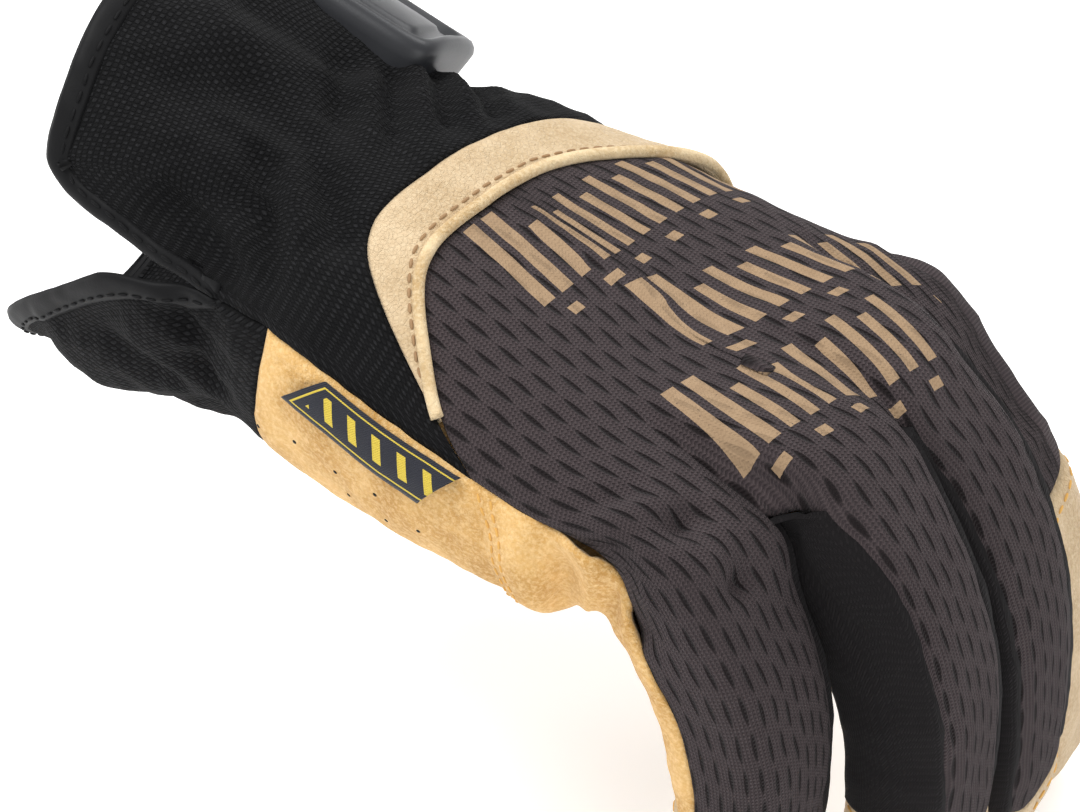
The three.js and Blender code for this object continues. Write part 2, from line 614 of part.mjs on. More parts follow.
for (let index = 0; index < 3; index += 1) {
  const name = `wall_${FINGERS[index].name}_${FINGERS[index + 1].name}`;
  addPiece(name, "stretch", shell(name, WALL.side, 0, WALL_GAP));
}
FINGERS.forEach(({ name }) => addPiece(`tip_${name}`, "pale", shell(`tip_${name}`, WALL.cap)));
addPiece("thumb_back", "stretch", shell("thumb_back", WALL.thumb));
addPiece("thumb_front", "suede", shell("thumb_front", WALL.thumb));
addPiece("tip_thumb", "pale", shell("tip_thumb", WALL.cap));
addPiece("wrist_band", "pale", shell("wrist_band", WALL.band, 0.3));
addPiece("cuff_back", "woven", shell("cuff_back", WALL.cuff));
addPiece("cuff_palm", "woven", shell("cuff_palm", WALL.cuff));
addPiece("binding_back", "tape", shell("binding_back", WALL.binding - 0.5, 0.5));
addPiece("binding_palm", "tape", shell("binding_palm", WALL.binding - 0.5, 0.5));
const dome = (u, v) => {
  const edge = Math.min(Math.min(u, 1 - u) * 38, Math.min(v, 1 - v) * 30);
  return edge < 0.1 ? 2.4 : edge < 6 ? 5 : 4.2;
};
addPiece("cuff_badge", "rubber", plate([[33, 0.365], [71, 0.37], [66, 0.48], [36, 0.48]], 10, 8, dome, 1.2));
addPiece("side_label", "label", plate([[83.8, 0.022], [111.8, 0.006], [118.5, 0.053], [91.2, 0.061]], 10, 3, () => 1.3, 0.45));

export default group;
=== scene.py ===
"""Dresses the CAD frame of a right-hand work glove for its picture. Lengths in the tables are millimetres."""

import heapq
import logging
import math
from collections.abc import Callable, Iterable, Sequence
from dataclasses import dataclass, field
from enum import Enum
from functools import lru_cache

import bmesh
import bpy
import numpy as np
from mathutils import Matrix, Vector, noise


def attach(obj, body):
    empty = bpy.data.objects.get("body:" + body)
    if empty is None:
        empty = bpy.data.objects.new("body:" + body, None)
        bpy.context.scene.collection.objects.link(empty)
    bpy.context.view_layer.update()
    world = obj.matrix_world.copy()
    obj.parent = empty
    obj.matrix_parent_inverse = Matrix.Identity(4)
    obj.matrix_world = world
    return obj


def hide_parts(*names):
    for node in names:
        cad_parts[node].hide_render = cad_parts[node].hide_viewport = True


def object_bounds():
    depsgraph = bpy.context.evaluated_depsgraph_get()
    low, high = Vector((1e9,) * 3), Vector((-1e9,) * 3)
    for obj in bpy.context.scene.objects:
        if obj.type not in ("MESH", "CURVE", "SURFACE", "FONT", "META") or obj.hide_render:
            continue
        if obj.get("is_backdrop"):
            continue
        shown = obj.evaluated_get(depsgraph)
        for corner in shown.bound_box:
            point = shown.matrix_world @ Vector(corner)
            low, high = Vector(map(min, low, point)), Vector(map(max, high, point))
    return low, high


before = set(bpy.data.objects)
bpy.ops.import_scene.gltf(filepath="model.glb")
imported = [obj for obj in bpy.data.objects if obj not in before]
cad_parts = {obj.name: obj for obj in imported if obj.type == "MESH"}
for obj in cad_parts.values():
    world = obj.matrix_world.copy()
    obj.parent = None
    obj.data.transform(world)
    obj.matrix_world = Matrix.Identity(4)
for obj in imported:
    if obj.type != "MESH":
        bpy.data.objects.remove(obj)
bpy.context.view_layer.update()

logging.basicConfig(level=logging.INFO, format="%(message)s")
LOG = logging.getLogger("glove")

Array = np.ndarray
MM = 0.001
# Place of the cuff mouth in the tables' own coordinates
MOUTH = np.array([13.0, -3.0, -14.0])
# Last section of the hand, and where the palm leather splits into its rear and front rows
END_X = 132.0
SPLIT_X = 119.7
# Where the side seam runs on the little finger, and where the knit ends on every finger, in turns
SIDE_TURN = -0.03
LITTLE_SIDE = 0.1
THUMB_SIDE = 0.4
# Turns of a finger that the stretch wall takes up, and how its edge tucks under its neighbours
WALL_TURNS = 0.2
WALL_LAP = 0.1
WALL_TUCK = 0.06
FINGER_POWER = 3.6
TIP_ROUND = 13.0
CUFF_ROUND = 262.0
# Pleats of the elastic wrist: middle, spread, depth, count, and the half width they are a share of
PLEAT_X = 66.0
PLEAT_SPREAD = 12.0
PLEAT_DEPTH = 1.7
PLEATS = 22
WRIST_HALF = 34.0
# Width over which an edge rolls into its seam
ROLL_WIDTH = 2.6
SURFACE_STEP = 0.75


class Cloth(Enum):
    """Kinds of cloth that the pieces are made of."""

    KNIT = "knit"
    SUEDE = "suede"
    PALE = "pale"
    STRETCH = "stretch"
    WOVEN = "woven"
    TAPE = "tape"
    RUBBER = "rubber"
    LABEL = "label"


# x, centre y, centre z, half width, rise over centre, drop under centre, roundness power
HAND = np.array([
    [8, -2, -10, 38, 40, 50, 2.1],
    [20, -3, -11, 37, 38, 48, 2.1],
    [32, -5, -13, 35.5, 35, 44.5, 2.1],
    [44, -7, -14, 34.5, 32.5, 40.5, 2.1],
    [54, -8.5, -16, 34, 29.5, 37, 2.15],
    [64, -8.5, -18, 34.5, 27.5, 34.5, 2.2],
    [76, -8, -20, 38, 26.5, 32.5, 2.3],
    [90, -7, -22, 41.5, 25.5, 30.5, 2.4],
    [104, -6.5, -24, 43.8, 23, 28, 2.5],
    [118, -5.5, -25.5, 45.6, 20.5, 25.5, 2.7],
    [132, -5, -27, 46.5, 19, 23, 2.9],
])
SIDE_SEAM = np.array([
    [8, 0.05], [62, 0.05], [77, 0.066], [91, 0.064], [105, 0.062], [120, 0.054], [132, 0.045],
])
BAND_CUFF_EDGE = np.array([
    [0.0545, 119.7], [0.093, 111], [0.128, 100.6], [0.158, 90.5], [0.183, 85.6], [0.221, 85.3],
    [0.256, 87.5], [0.301, 90.5], [0.358, 94.6], [0.41, 101], [0.5, 106],
])
BAND_HAND_EDGE = np.array([
    [0.0545, 119.7], [0.093, 111.6], [0.121, 107.4], [0.147, 103.2], [0.175, 98], [0.197, 96.1],
    [0.225, 96.3], [0.256, 98.4], [0.299, 101.7], [0.354, 109.2], [0.41, 115], [0.5, 119],
])
PALM_REAR = np.array([[-0.5, 80], [-0.35, 76], [-0.2, 74], [-0.05, 75], [0.02, 77], [0.06, 77.4]])
HEM_BACK = np.array([
    [62.5, 0.05], [54, 0.0485], [45, 0.049], [37, 0.053], [31.5, 0.064], [29.6, 0.079], [29.4, 0.128],
    [28.4, 0.203], [28, 0.3], [26.5, 0.4], [24, 0.5],
])
HEM_PALM = np.array([
    [62.5, 0.05], [54, 0.03], [43, 0.004], [32, -0.03], [22, -0.065], [15.5, -0.095], [13.2, -0.125],
    [12.8, -0.2], [13.5, -0.3], [17, -0.4], [24, -0.5],
])


@dataclass(frozen=True)
class Fold:
    """A crease or ridge pressed into the skin between two points, in table millimetres."""

    start: tuple[float, float, float]
    end: tuple[float, float, float]
    width: float
    depth: float


@dataclass(frozen=True)
class Slide:
    """A soft pull of the skin round a point, from start to end."""

    start: tuple[float, float, float]
    end: tuple[float, float, float]
    width: float


# Main folds, as in the solids
MAIN_FOLDS = (
    Fold((136, -52, -24), (139, -50, -44), 3.2, 3.0),
    Fold((131, -53, -28), (133, -50, -47), 3.0, -1.6),
    Fold((143, -53, -30), (147, -50, -46), 2.6, 2.2),
    Fold((140, -53, -26), (143, -50, -48), 2.2, -1.4),
    Fold((147, -52, -36), (160, -40, -24), 2.4, 1.4),
    Fold((143, -51, -22), (158, -38, -14), 2.8, 1.2),
    Fold((70, -38, 4), (84, -30, 3), 3.0, 1.2),
    Fold((50, -38, 0), (66, -30, 10), 4.0, 1.8),
    Fold((40, -40, -30), (70, -42, -36), 3.5, 2.0),
    Fold((44, -36, -42), (72, -42, -28), 3.0, -1.4),
)

# Share of the gap that closes at a web, and how far the pull reaches, mm
WEB_PINCH = 0.92
WEB_REACH = 8.0
# The side seam rises at the little knuckle
SEAM_RISE = Slide((143.5, -49.0, -29.0), (146.5, -48.2, -22.5), 9.0)
# Vents in the palm leather: distance along, turn
VENTS = (
    (76.5, -0.03), (84.5, -0.022), (93.1, -0.025), (94.6, -0.05),
    (101.7, -0.018), (103.0, -0.048), (110.5, -0.03),
)
# Finer forms of the skin, over the main folds; a depth below zero swells out
SIDE_PRESS = (
    Fold((112, 41, -8), (146, 42, -22), 12.0, 3.0),
    Fold((162, 40, -36), (178, 38, -52), 10.0, 2.2),
)
BACK_CREASES = (
    Fold((150.0, -50.8, -37.0), (166, -39.0, -23.0), 2.2, 3.6),
    Fold((144.0, -49.5, -22.0), (157.0, -37.0, -15.0), 2.3, 3.0),
    Fold((150.0, -50.0, -29.0), (160.0, -41.0, -20.5), 2.8, -2.2),
    Fold((141.0, -47.5, -19.0), (150.0, -38.0, -13.5), 2.4, -1.4),
    Fold((139.0, -47.0, -16.0), (148.0, -39.0, -13.0), 2.2, 1.4),
    Fold((157.0, -50.0, -46.0), (167.0, -42.0, -38.0), 2.2, 1.3),
)
PALM_CREASES = (
    Fold((133.8, -49.7, -20.0), (135.5, -47.9, -38.0), 1.6, 2.6),
    Fold((144.0, -50.0, -18.0), (143.0, -46.0, -40.0), 1.6, 3.0),
    Fold((151.5, -50.5, -26.0), (150.5, -46.0, -44.0), 1.5, 2.6),
    Fold((139.0, -50.0, -21.0), (139.5, -47.0, -40.0), 3.2, -3.4),
    Fold((147.5, -50.5, -22.0), (147.5, -48.0, -40.0), 2.4, -3.2),
    Fold((128.5, -50.5, -22.0), (129.0, -48.0, -40.0), 3.2, -1.8),
    Fold((155.5, -50.0, -36.0), (156.0, -46.0, -52.0), 2.8, -1.6),
    Fold((122.5, -51.0, -22.0), (125.0, -49.0, -40.0), 1.1, 0.9),
    Fold((75.0, -46.0, -24.0), (82.0, -48.0, -36.0), 3.0, -0.8),
)
THUMB_CREASES = (
    Fold((118, 52, -62), (128, 40, -64), 2.5, 0.8),
    Fold((124, 56, -70), (134, 44, -70), 2.5, 0.7),
)
BAND_CREASES = (
    Fold((88.5, -25.8, 2.6), (96, -23.0, 3.0), 0.9, 0.5),
    Fold((89.0, -28.0, 2.0), (96.5, -25.5, 2.0), 0.8, 0.45),
    Fold((90.2, -30.0, 1.1), (97.5, -28.0, 1.0), 0.8, 0.45),
    Fold((91.5, -32.5, 0.0), (98.5, -30.5, -0.5), 0.9, 0.4),
    Fold((87.0, -22.0, 4.0), (94.5, -19.5, 4.5), 0.9, 0.35),
)
CUFF_CREASES = (
    Fold((60.0, 8.0, 8.0), (72.0, -12.0, 7.0), 2.6, 3.2),
    Fold((64.5, 11.0, 5.5), (77.0, -10.0, 6.0), 2.0, -1.8),
    Fold((67.0, 12.0, 4.5), (80.0, -8.0, 5.8), 2.3, 3.2),
    Fold((69.0, 16.0, 2.0), (83.0, -1.0, 5.5), 1.9, -1.6),
    Fold((70.5, 19.0, 0.0), (84.0, 3.0, 5.0), 2.2, 3.2),
    Fold((72.0, 22.0, -2.0), (86.0, 8.0, 4.0), 1.9, -1.6),
    Fold((73.0, 26.0, -5.0), (88.0, 12.0, 2.5), 2.2, 3.0),
    Fold((70.0, -16.0, 8.0), (84.0, -30.0, 1.0), 3.0, 3.2),
    Fold((68.0, -20.5, 7.0), (80.0, -34.5, -1.0), 2.8, -2.4),
    Fold((63.0, -22.0, 8.0), (76.0, -40.0, -4.0), 3.0, 3.0),
    Fold((50.0, -34.0, 6.0), (70.0, -40.0, -6.0), 4.0, 2.4),
    Fold((38.0, -24.0, 16.0), (66.0, -10.0, 10.0), 6.0, 2.6),
    Fold((42.0, -8.0, 20.0), (66.0, -2.0, 10.0), 5.0, -1.8),
    Fold((44.0, 0.0, 19.0), (62.0, 6.0, 9.0), 4.5, 2.2),
    Fold((58.0, -41.0, -12.0), (64.0, -42.0, -30.0), 3.4, 2.2),
    Fold((46.0, -42.0, -20.0), (58.0, -42.0, -34.0), 4.0, -1.5),
)
BADGE_SWELL = (
    Fold((38.0, 18.0, 12.0), (60.0, 22.0, 3.0), 15.0, -2.0),
    Fold((36.0, 33.0, 2.0), (60.0, 35.0, -5.0), 10.0, -4.0),
)
FLAP_SWELL = (Fold((24.0, -32.0, -42.0), (50.0, -36.0, -44.0), 11.0, -4.5),)
CUFF_FORMS = MAIN_FOLDS + CUFF_CREASES + BADGE_SWELL + FLAP_SWELL


def spline(rows: Array, place: Array) -> Array:
    """Catmull-Rom curve through table rows.

    Args:
        rows: One row per knot.
        place: Knot numbers, fractions allowed.

    Returns:
        One row per place.
    """
    last = len(rows) - 1
    i = np.clip(np.floor(place).astype(int), 0, last - 1)
    f = (place - i)[..., None]
    p1, p2 = rows[i], rows[i + 1]
    p0 = np.where((i > 0)[..., None], rows[np.maximum(i - 1, 0)], 2 * p1 - p2)
    p3 = np.where((i < last - 1)[..., None], rows[np.minimum(i + 2, last)], 2 * p2 - p1)
    square = (2 * p0 - 5 * p1 + 4 * p2 - p3) * f**2
    cube = (3 * p1 - p0 - 3 * p2 + p3) * f**3
    return 0.5 * (2 * p1 + (p2 - p0) * f + square + cube)


def signed_power(v: Array, e: Array | float) -> Array:
    """Power of the size of v that keeps its sign."""
    return np.sign(v) * np.abs(v) ** e


def seam_turn(x: Array) -> Array:
    """Turn of the little-finger side seam at x."""
    return np.interp(x, SIDE_SEAM[:, 0], SIDE_SEAM[:, 1])


def turn_at(share: Array, x: Array, above: bool) -> Array:
    """Turn of the column at this share of the way from the side seam to the thumb side."""
    seam = seam_turn(x)
    return seam + ((0.5 if above else -0.5) - seam) * share


def soften(edge: Array, reach: float = 0.02) -> Array:
    """Rounds the corners of an edge stated as x over turn, its ends kept."""
    turn = np.linspace(edge[0, 0], edge[-1, 0], 400)
    room = np.minimum(reach, np.minimum(turn - turn[0], turn[-1] - turn))
    x = np.mean([np.interp(turn + room * k, edge[:, 0], edge[:, 1]) for k in np.linspace(-1, 1, 15)], axis=0)
    return np.stack([turn, x], -1)


def edge_at(edge: Array, share: float, above: bool) -> float:
    """Where a column meets an edge stated as x over turn."""
    x = float(edge[0, 1])
    for _ in range(14):
        x = float(np.interp(turn_at(share, x, above), edge[:, 0], edge[:, 1]))
    return x


BAND_CUFF_EDGE = soften(BAND_CUFF_EDGE)
BAND_HAND_EDGE = soften(BAND_HAND_EDGE)
_HAND_PLACE = np.linspace(0, len(HAND) - 1, 1200)
_HAND_ROWS = spline(HAND, _HAND_PLACE)


def hand_point(x: Array, turn: Array) -> Array:
    """Skin of the hand at x, turned round from the little-finger side over the back."""
    x, turn = np.broadcast_arrays(np.asarray(x, float), np.asarray(turn, float))
    cy, cz, half, rise, drop, power = (np.interp(x, _HAND_ROWS[:, 0], _HAND_ROWS[:, k]) for k in range(1, 7))
    angle = 2 * np.pi * turn
    across = -signed_power(np.cos(angle), 2 / power)
    up = signed_power(np.sin(angle), 2 / power)
    near = np.exp(-(((x - PLEAT_X) / PLEAT_SPREAD) ** 2))
    in_cuff = np.clip((75 - x) / 12, 0, 1)
    off_seam = np.minimum(1, np.abs(turn - 0.055) / 0.04)
    wave = 0.5 + 0.5 * np.cos(PLEATS * angle + 0.9 * np.sin(5 * angle))
    k = 1 - PLEAT_DEPTH * near * in_cuff * off_seam * wave / WRIST_HALF
    return np.stack([x, cy + half * across * k, cz + np.where(up > 0, rise, drop) * up * k], -1)


@dataclass
class Finger:
    """One finger of the glove, a bent tube with boxy sections.

    Attributes:
        name: Plain name.
        at: Root centre.
        yaw: Lean towards the thumb, degrees.
        w: Half width, root and tip.
        d: Half depth, root and tip.
        length: Root to tip.
        pitch: Lean below level at even steps, degrees.
        cap: Start of the tip cap on back, thumb side, palm and little side.
        line: Middle line: places, points and directions along, outwards and sideways.
    """

    name: str
    at: tuple[float, float, float]
    yaw: float
    w: tuple[float, float]
    d: tuple[float, float]
    length: float
    pitch: tuple[float, ...]
    cap: tuple[float, float, float, float]
    line: dict[str, Array] = field(init=False)

    def __post_init__(self) -> None:
        """Works out the middle line."""
        count = 121
        s = np.linspace(0, self.length, count)
        pitch = np.radians(spline(np.array(self.pitch)[:, None], s / self.length * 4)[:, 0])
        yaw = math.radians(self.yaw)
        level = np.full(count, math.sin(yaw))
        along = np.stack([np.cos(pitch) * math.cos(yaw), level, -np.sin(pitch) * math.cos(yaw)], -1)
        along /= np.linalg.norm(along, axis=1, keepdims=True)
        out = np.stack([np.sin(pitch), np.zeros(count), np.cos(pitch)], -1)
        out -= (out * along).sum(1, keepdims=True) * along
        out /= np.linalg.norm(out, axis=1, keepdims=True)
        side = np.cross(out, along)
        side *= np.sign(side[:, 1:2])
        steps = np.vstack([np.zeros(3), np.cumsum(along[:-1] * (s[1] - s[0]), 0)])
        self.line = {"s": s, "at": np.array(self.at) + steps, "along": along, "out": out, "side": side}

    def frame(self, s: Array, what: str) -> Array:
        """Vectors of the middle line at s."""
        return np.stack([np.interp(s, self.line["s"], self.line[what][:, k]) for k in range(3)], -1)

    def point(self, s: Array, turn: Array) -> Array:
        """Skin of the finger s along it, turned round from its little-finger side over the back."""
        s, turn = np.broadcast_arrays(np.asarray(s, float), np.asarray(turn, float))
        share = s / self.length
        close = np.clip((s - self.length + TIP_ROUND) / TIP_ROUND, 0, 1)
        shrink = np.sqrt(np.maximum(0, 1 - close**2.4))
        half = (self.w[0] + (self.w[1] - self.w[0]) * share) * shrink
        deep = (self.d[0] + (self.d[1] - self.d[0]) * np.minimum(1, share * 1.6)) * shrink
        angle = 2 * np.pi * turn
        e = 2 / FINGER_POWER
        side = (-signed_power(np.cos(angle), e) * half)[..., None] * self.frame(s, "side")
        out = (signed_power(np.sin(angle), e) * deep)[..., None] * self.frame(s, "out")
        return self.frame(s, "at") + side + out

    def cap_start(self, turn: Array) -> Array:
        """Where the tip cap begins at this turn."""
        back, thumb_side, palm, little_side = self.cap
        marks = [little_side, back, thumb_side, palm, little_side]
        return np.interp(np.mod(turn, 1.0), [0, 0.25, 0.5, 0.75, 1], marks)


# Lean of the two middle fingers, and half depths of all four, root and tip
CURL = (44, 62, 80, 92, 98)
DEPTHS = (13.5, 10.5)
FINGERS = (
    Finger("little", (151, -38.5, -30), -2, (12.4, 12), DEPTHS, 76, (46, 64, 84, 93, 98), (62, 56, 40, 52)),
    Finger("ring", (165, -13.3, -26), -1, (12, 11.8), DEPTHS, 88, CURL, (73, 68, 60, 63)),
    Finger("middle", (164, 11.7, -27), 0, (12, 11.8), DEPTHS, 99, CURL, (84, 76, 70, 78)),
    Finger("index", (151, 36.6, -37), 1, (12, 11.8), DEPTHS, 104, (42, 54, 73, 89, 97), (37, 31, 66, 54)),
)


@dataclass
class Column:
    """A line that runs from the hand onto one finger, or down to the web between two.

    Attributes:
        turn: Its turn on the hand at the knuckle row.
        ends: Finger number and turn on that finger.
        share: Part of the way from the side seam to the thumb side.
    """

    turn: float
    ends: list[tuple[int, float]]
    share: float = 0.0

    def end(self) -> tuple[Array, Array]:
        """Point and direction where the column reaches its finger or web."""
        points = [FINGERS[i].point(0, t) for i, t in self.ends]
        ways = [FINGERS[i].line["along"][0] for i, _ in self.ends]
        return np.mean(points, 0), np.mean(ways, 0)


def turn_of(y: float, above: bool) -> float:
    """Turn on the last hand section at this y."""
    _, cy, _, half, _, _, power = HAND[-1]
    part = float(np.clip((y - cy) / half, -1, 1))
    turn = math.acos(-float(signed_power(part, power / 2))) / (2 * math.pi)
    return turn if above else -turn


def make_columns(above: bool, steps: int) -> list[Column]:
    """Columns over the back or under the palm, from the side seam to the thumb side."""
    sign = 1 if above else -1
    columns: list[Column] = []
    for index, finger in enumerate(FINGERS):
        for k in range(steps + 1):
            near = -SIDE_TURN if index == 0 and not above else LITTLE_SIDE
            turn = sign * (near + (THUMB_SIDE - near) * k / steps)
            y = float(finger.point(0, turn)[1])
            if k == 0 and index > 0:
                web = columns[-1]
                web.ends.append((index, turn))
                other = float(FINGERS[index - 1].point(0, sign * THUMB_SIDE)[1])
                web.turn = turn_of((other + y) / 2, above)
            else:
                columns.append(Column(turn_of(y, above), [(index, turn)]))
    seam = float(seam_turn(END_X))
    lead = 2 * max(2, round(steps * 0.3))
    if above:
        first = columns[0].turn
        for k in range(lead - 1, -1, -1):
            f = k / lead
            on_finger = SIDE_TURN + (LITTLE_SIDE - SIDE_TURN) * f
            columns.insert(0, Column(seam + (first - seam) * f, [(0, on_finger)]))
    else:
        wide = columns[steps].turn
        for k in range(steps):
            columns[k].turn = seam + (wide - seam) * k / steps
    last = columns[-1].turn
    for k in range(1, lead + 1):
        f = k / lead
        on_finger = THUMB_SIDE + (0.5 - THUMB_SIDE) * f
        columns.append(Column(last + (sign * 0.5 - last) * f, [(3, sign * on_finger)]))
    for column in columns:
        column.share = sign * (column.turn - seam) / (0.5 - sign * seam)
    return columns


def knuckle_strip(column: Column, above: bool, t: Array) -> Array:
    """Smooth stretch of a column from the last hand section to its finger root or web."""
    share = column.share
    start = hand_point(END_X, turn_at(share, END_X, above))
    before = hand_point(END_X - 4, turn_at(share, END_X - 4, above))
    lead = (start - before) / np.linalg.norm(start - before)
    end, along = column.end()
    reach = np.linalg.norm(end - start)
    t = t[:, None]
    a, b = 2 * t**3 - 3 * t**2 + 1, t**3 - 2 * t**2 + t
    c, d = -2 * t**3 + 3 * t**2, t**3 - t**2
    return a * start + b * reach * lead + c * end + d * reach * along


def fold_shift(points: Array, folds: Iterable[Fold]) -> Array:
    """How far the folds move each point along its outward direction."""
    shift = np.zeros(len(points))
    for fold in folds:
        a, b = np.array(fold.start, float), np.array(fold.end, float)
        line = b - a
        t = np.clip(((points - a) @ line) / (line @ line), 0, 1)
        away = np.linalg.norm(points - (a + t[:, None] * line), axis=1)
        fade = 1 - 0.75 * np.abs(2 * t - 1) ** 3
        shift -= fold.depth * fade * np.exp(-((away / fold.width) ** 2))
    return shift


@lru_cache(maxsize=1)
def web_pinches() -> tuple[tuple[Array, Array], ...]:
    """Middle and across direction of each web, where two fingers close up to a point."""
    found = []
    for column in make_columns(True, 10):
        if len(column.ends) < 2:
            continue
        (i, a), (j, b) = column.ends
        web = column.end()[0]
        near, far = FINGERS[i], FINGERS[j]
        across = far.point(0, b) - near.point(0, a)
        down = far.point(6, b) + near.point(6, a) - 2 * web
        down = down / np.linalg.norm(down)
        found.append((web + down * 3.0, across / np.linalg.norm(across)))
    return tuple(found)


@dataclass
class Patch:
    """A rectangular piece of skin: points in table millimetres and flat cloth coordinates."""

    points: Array
    cloth: Array

    @staticmethod
    def from_strips(strips: Sequence[Array], across: Sequence[float], start: Sequence[float]) -> "Patch":
        """Patch from lines of points.

        Args:
            strips: Lines of equal count.
            across: Flat coordinate across of each line.
            start: Flat coordinate along, where each line begins.

        Returns:
            The patch, its flat coordinates measured along each line.
        """
        points = np.stack(strips)
        steps = np.linalg.norm(np.diff(points, axis=1), axis=2)
        along = np.concatenate([np.zeros((len(points), 1)), np.cumsum(steps, 1)], 1)
        along = along + np.array(start)[:, None]
        side = np.array(across, float)
        if side.ndim == 1:
            side = np.repeat(side[:, None], points.shape[1], 1)
        return Patch(points, np.stack([along, side], -1))


class Skin:
    """Builds one piece of the glove from patches, welded, edged and thickened."""

    def __init__(self, name: str) -> None:
        self.name = name
        self.bm = bmesh.new()
        self.uv = self.bm.loops.layers.uv.new("cloth")

    def add(self, patch: Patch, flip: bool = False, hole: tuple[int, int, int, int] | None = None) -> None:
        """Adds a patch as a grid.

        Args:
            patch: The patch.
            flip: Whether its faces look the other way.
            hole: First and last line, first and last point of a cut-out.
        """
        rows, cols = patch.points.shape[:2]
        made = bmesh.ops.create_grid(self.bm, x_segments=cols - 1, y_segments=rows - 1, size=1.0)["verts"]
        made.sort(key=lambda v: (round(v.co.y, 5), round(v.co.x, 5)))
        places = (patch.points.reshape(-1, 3) - MOUTH) * MM
        cloth = patch.cloth.reshape(-1, 2) * MM
        where = {}
        for vert, co, uv in zip(made, places, cloth):
            vert.co = co
            where[vert] = uv
        faces = {face for vert in made for face in vert.link_faces}
        for face in faces:
            for loop in face.loops:
                loop[self.uv].uv = where[loop.vert]
        if flip:
            bmesh.ops.reverse_faces(self.bm, faces=list(faces))
        if hole:
            j0, j1, i0, i1 = hole
            cell = {v: divmod(k, cols) for k, v in enumerate(made)}
            inside = {v for v, (j, i) in cell.items() if j0 <= j <= j1 and i0 <= i <= i1}
            gone = [f for f in faces if inside.issuperset(f.verts)]
            bmesh.ops.delete(self.bm, geom=gone, context="FACES")

    def weld(self) -> None:
        """Joins the patches where their edges meet."""
        bmesh.ops.remove_doubles(self.bm, verts=self.bm.verts, dist=2e-5)
        bmesh.ops.dissolve_degenerate(self.bm, dist=1e-6, edges=self.bm.edges)
        self.bm.normal_update()

    def edge_distance(self, limit: float) -> dict[bmesh.types.BMVert, float]:
        """Distance over the skin from its open edge, up to a limit in metres."""
        far = {v: 0.0 for v in self.bm.verts if any(e.is_boundary for e in v.link_edges)}
        heap = [(0.0, v.index, v) for v in far]
        heapq.heapify(heap)
        while heap:
            d, _, v = heapq.heappop(heap)
            if d > far.get(v, math.inf):
                continue
            for edge in v.link_edges:
                w = edge.other_vert(v)
                new = d + edge.calc_length()
                if new < limit and new < far.get(w, math.inf):
                    far[w] = new
                    heapq.heappush(heap, (new, w.index, w))
        return far

    def shape(self, folds: Iterable[Fold], rough: float, roll: float, lift: float = 0.0) -> None:
        """Moves the skin for folds, a soft unevenness and edges that roll into their seams.

        Args:
            folds: Folds to press in.
            rough: Height of the unevenness, mm.
            roll: Depth of the rolled edge, mm.
            lift: Even move outwards, mm.
        """
        self.bm.verts.index_update()
        self.bm.normal_update()
        width = ROLL_WIDTH * MM
        far = self.edge_distance(width)
        verts = list(self.bm.verts)
        points = np.array([v.co for v in verts]) / MM + MOUTH
        near = np.exp(-((np.linalg.norm(points - SEAM_RISE.start, axis=1) / SEAM_RISE.width) ** 2))
        moved = np.outer(near, np.subtract(SEAM_RISE.end, SEAM_RISE.start))
        for centre, across in web_pinches():
            gap = points - centre
            pull = WEB_PINCH * np.exp(-((np.linalg.norm(gap, axis=1) / WEB_REACH) ** 2))
            moved -= np.outer(pull * (gap @ across), across)
        for vert, move in zip(verts, moved):
            vert.co += Vector(move) * MM
        normals = np.array([v.normal for v in verts])
        shift = fold_shift(points, folds) + lift
        for k, vert in enumerate(verts):
            p = points[k] / 9.0
            shift[k] += rough * noise.noise(Vector(p)) + 0.4 * rough * noise.noise(Vector(p * 2.7))
            if vert in far:
                t = 1 - far[vert] / width
                shift[k] -= roll * (1 - math.sqrt(max(0.0, 1 - t * t)))
        for k, vert in enumerate(verts):
            vert.co = vert.co + Vector(normals[k]) * float(shift[k]) * MM

    def thicken(self, wall: float) -> None:
        """Adds the inner face and the rim, the wall thickness inwards."""
        self.bm.normal_update()
        outer = list(self.bm.verts)
        outward = [v.normal.copy() for v in outer]
        rim = [e for e in self.bm.edges if e.is_boundary]
        made = bmesh.ops.duplicate(self.bm, geom=outer + list(self.bm.edges) + list(self.bm.faces))
        twin = made["vert_map"]
        for vert, way in zip(outer, outward):
            twin[vert].co = vert.co - way * wall * MM
        bmesh.ops.reverse_faces(self.bm, faces=[g for g in made["geom"] if isinstance(g, bmesh.types.BMFace)])
        for edge in rim:
            loop = edge.link_loops[0]
            after = loop.link_loop_next
            a, b = loop.vert, after.vert
            face = self.bm.faces.new((b, a, twin[a], twin[b]))
            for corner, source in zip(face.loops, (after, loop, loop, after)):
                corner[self.uv].uv = source[self.uv].uv
        self.bm.normal_update()

    def finish(self, wall: float, cloth: Cloth, material: bpy.types.Material, node: str) -> bpy.types.Object:
        """Thickens the skin and makes the object that stands for a solid."""
        self.thicken(wall)
        return make_piece(self.bm, self.name, material, node)


def make_piece(
    bm: bmesh.types.BMesh, name: str, material: bpy.types.Material, node: str | None = None
) -> bpy.types.Object:
    """Turns a finished mesh into a piece that rides on the glove.

    Args:
        bm: The mesh, freed here.
        name: Plain name of the piece.
        material: Its material.
        node: Solid that the piece stands for, if any.

    Returns:
        The object.
    """
    for face in bm.faces:
        face.smooth = True
    mesh = bpy.data.meshes.new(name)
    bm.to_mesh(mesh)
    bm.free()
    mesh.materials.append(material)
    piece = bpy.data.objects.new(name.replace(" ", "_"), mesh)
    bpy.context.scene.collection.objects.link(piece)
    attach(piece, "root")
    if node:
        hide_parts(node)
    return piece


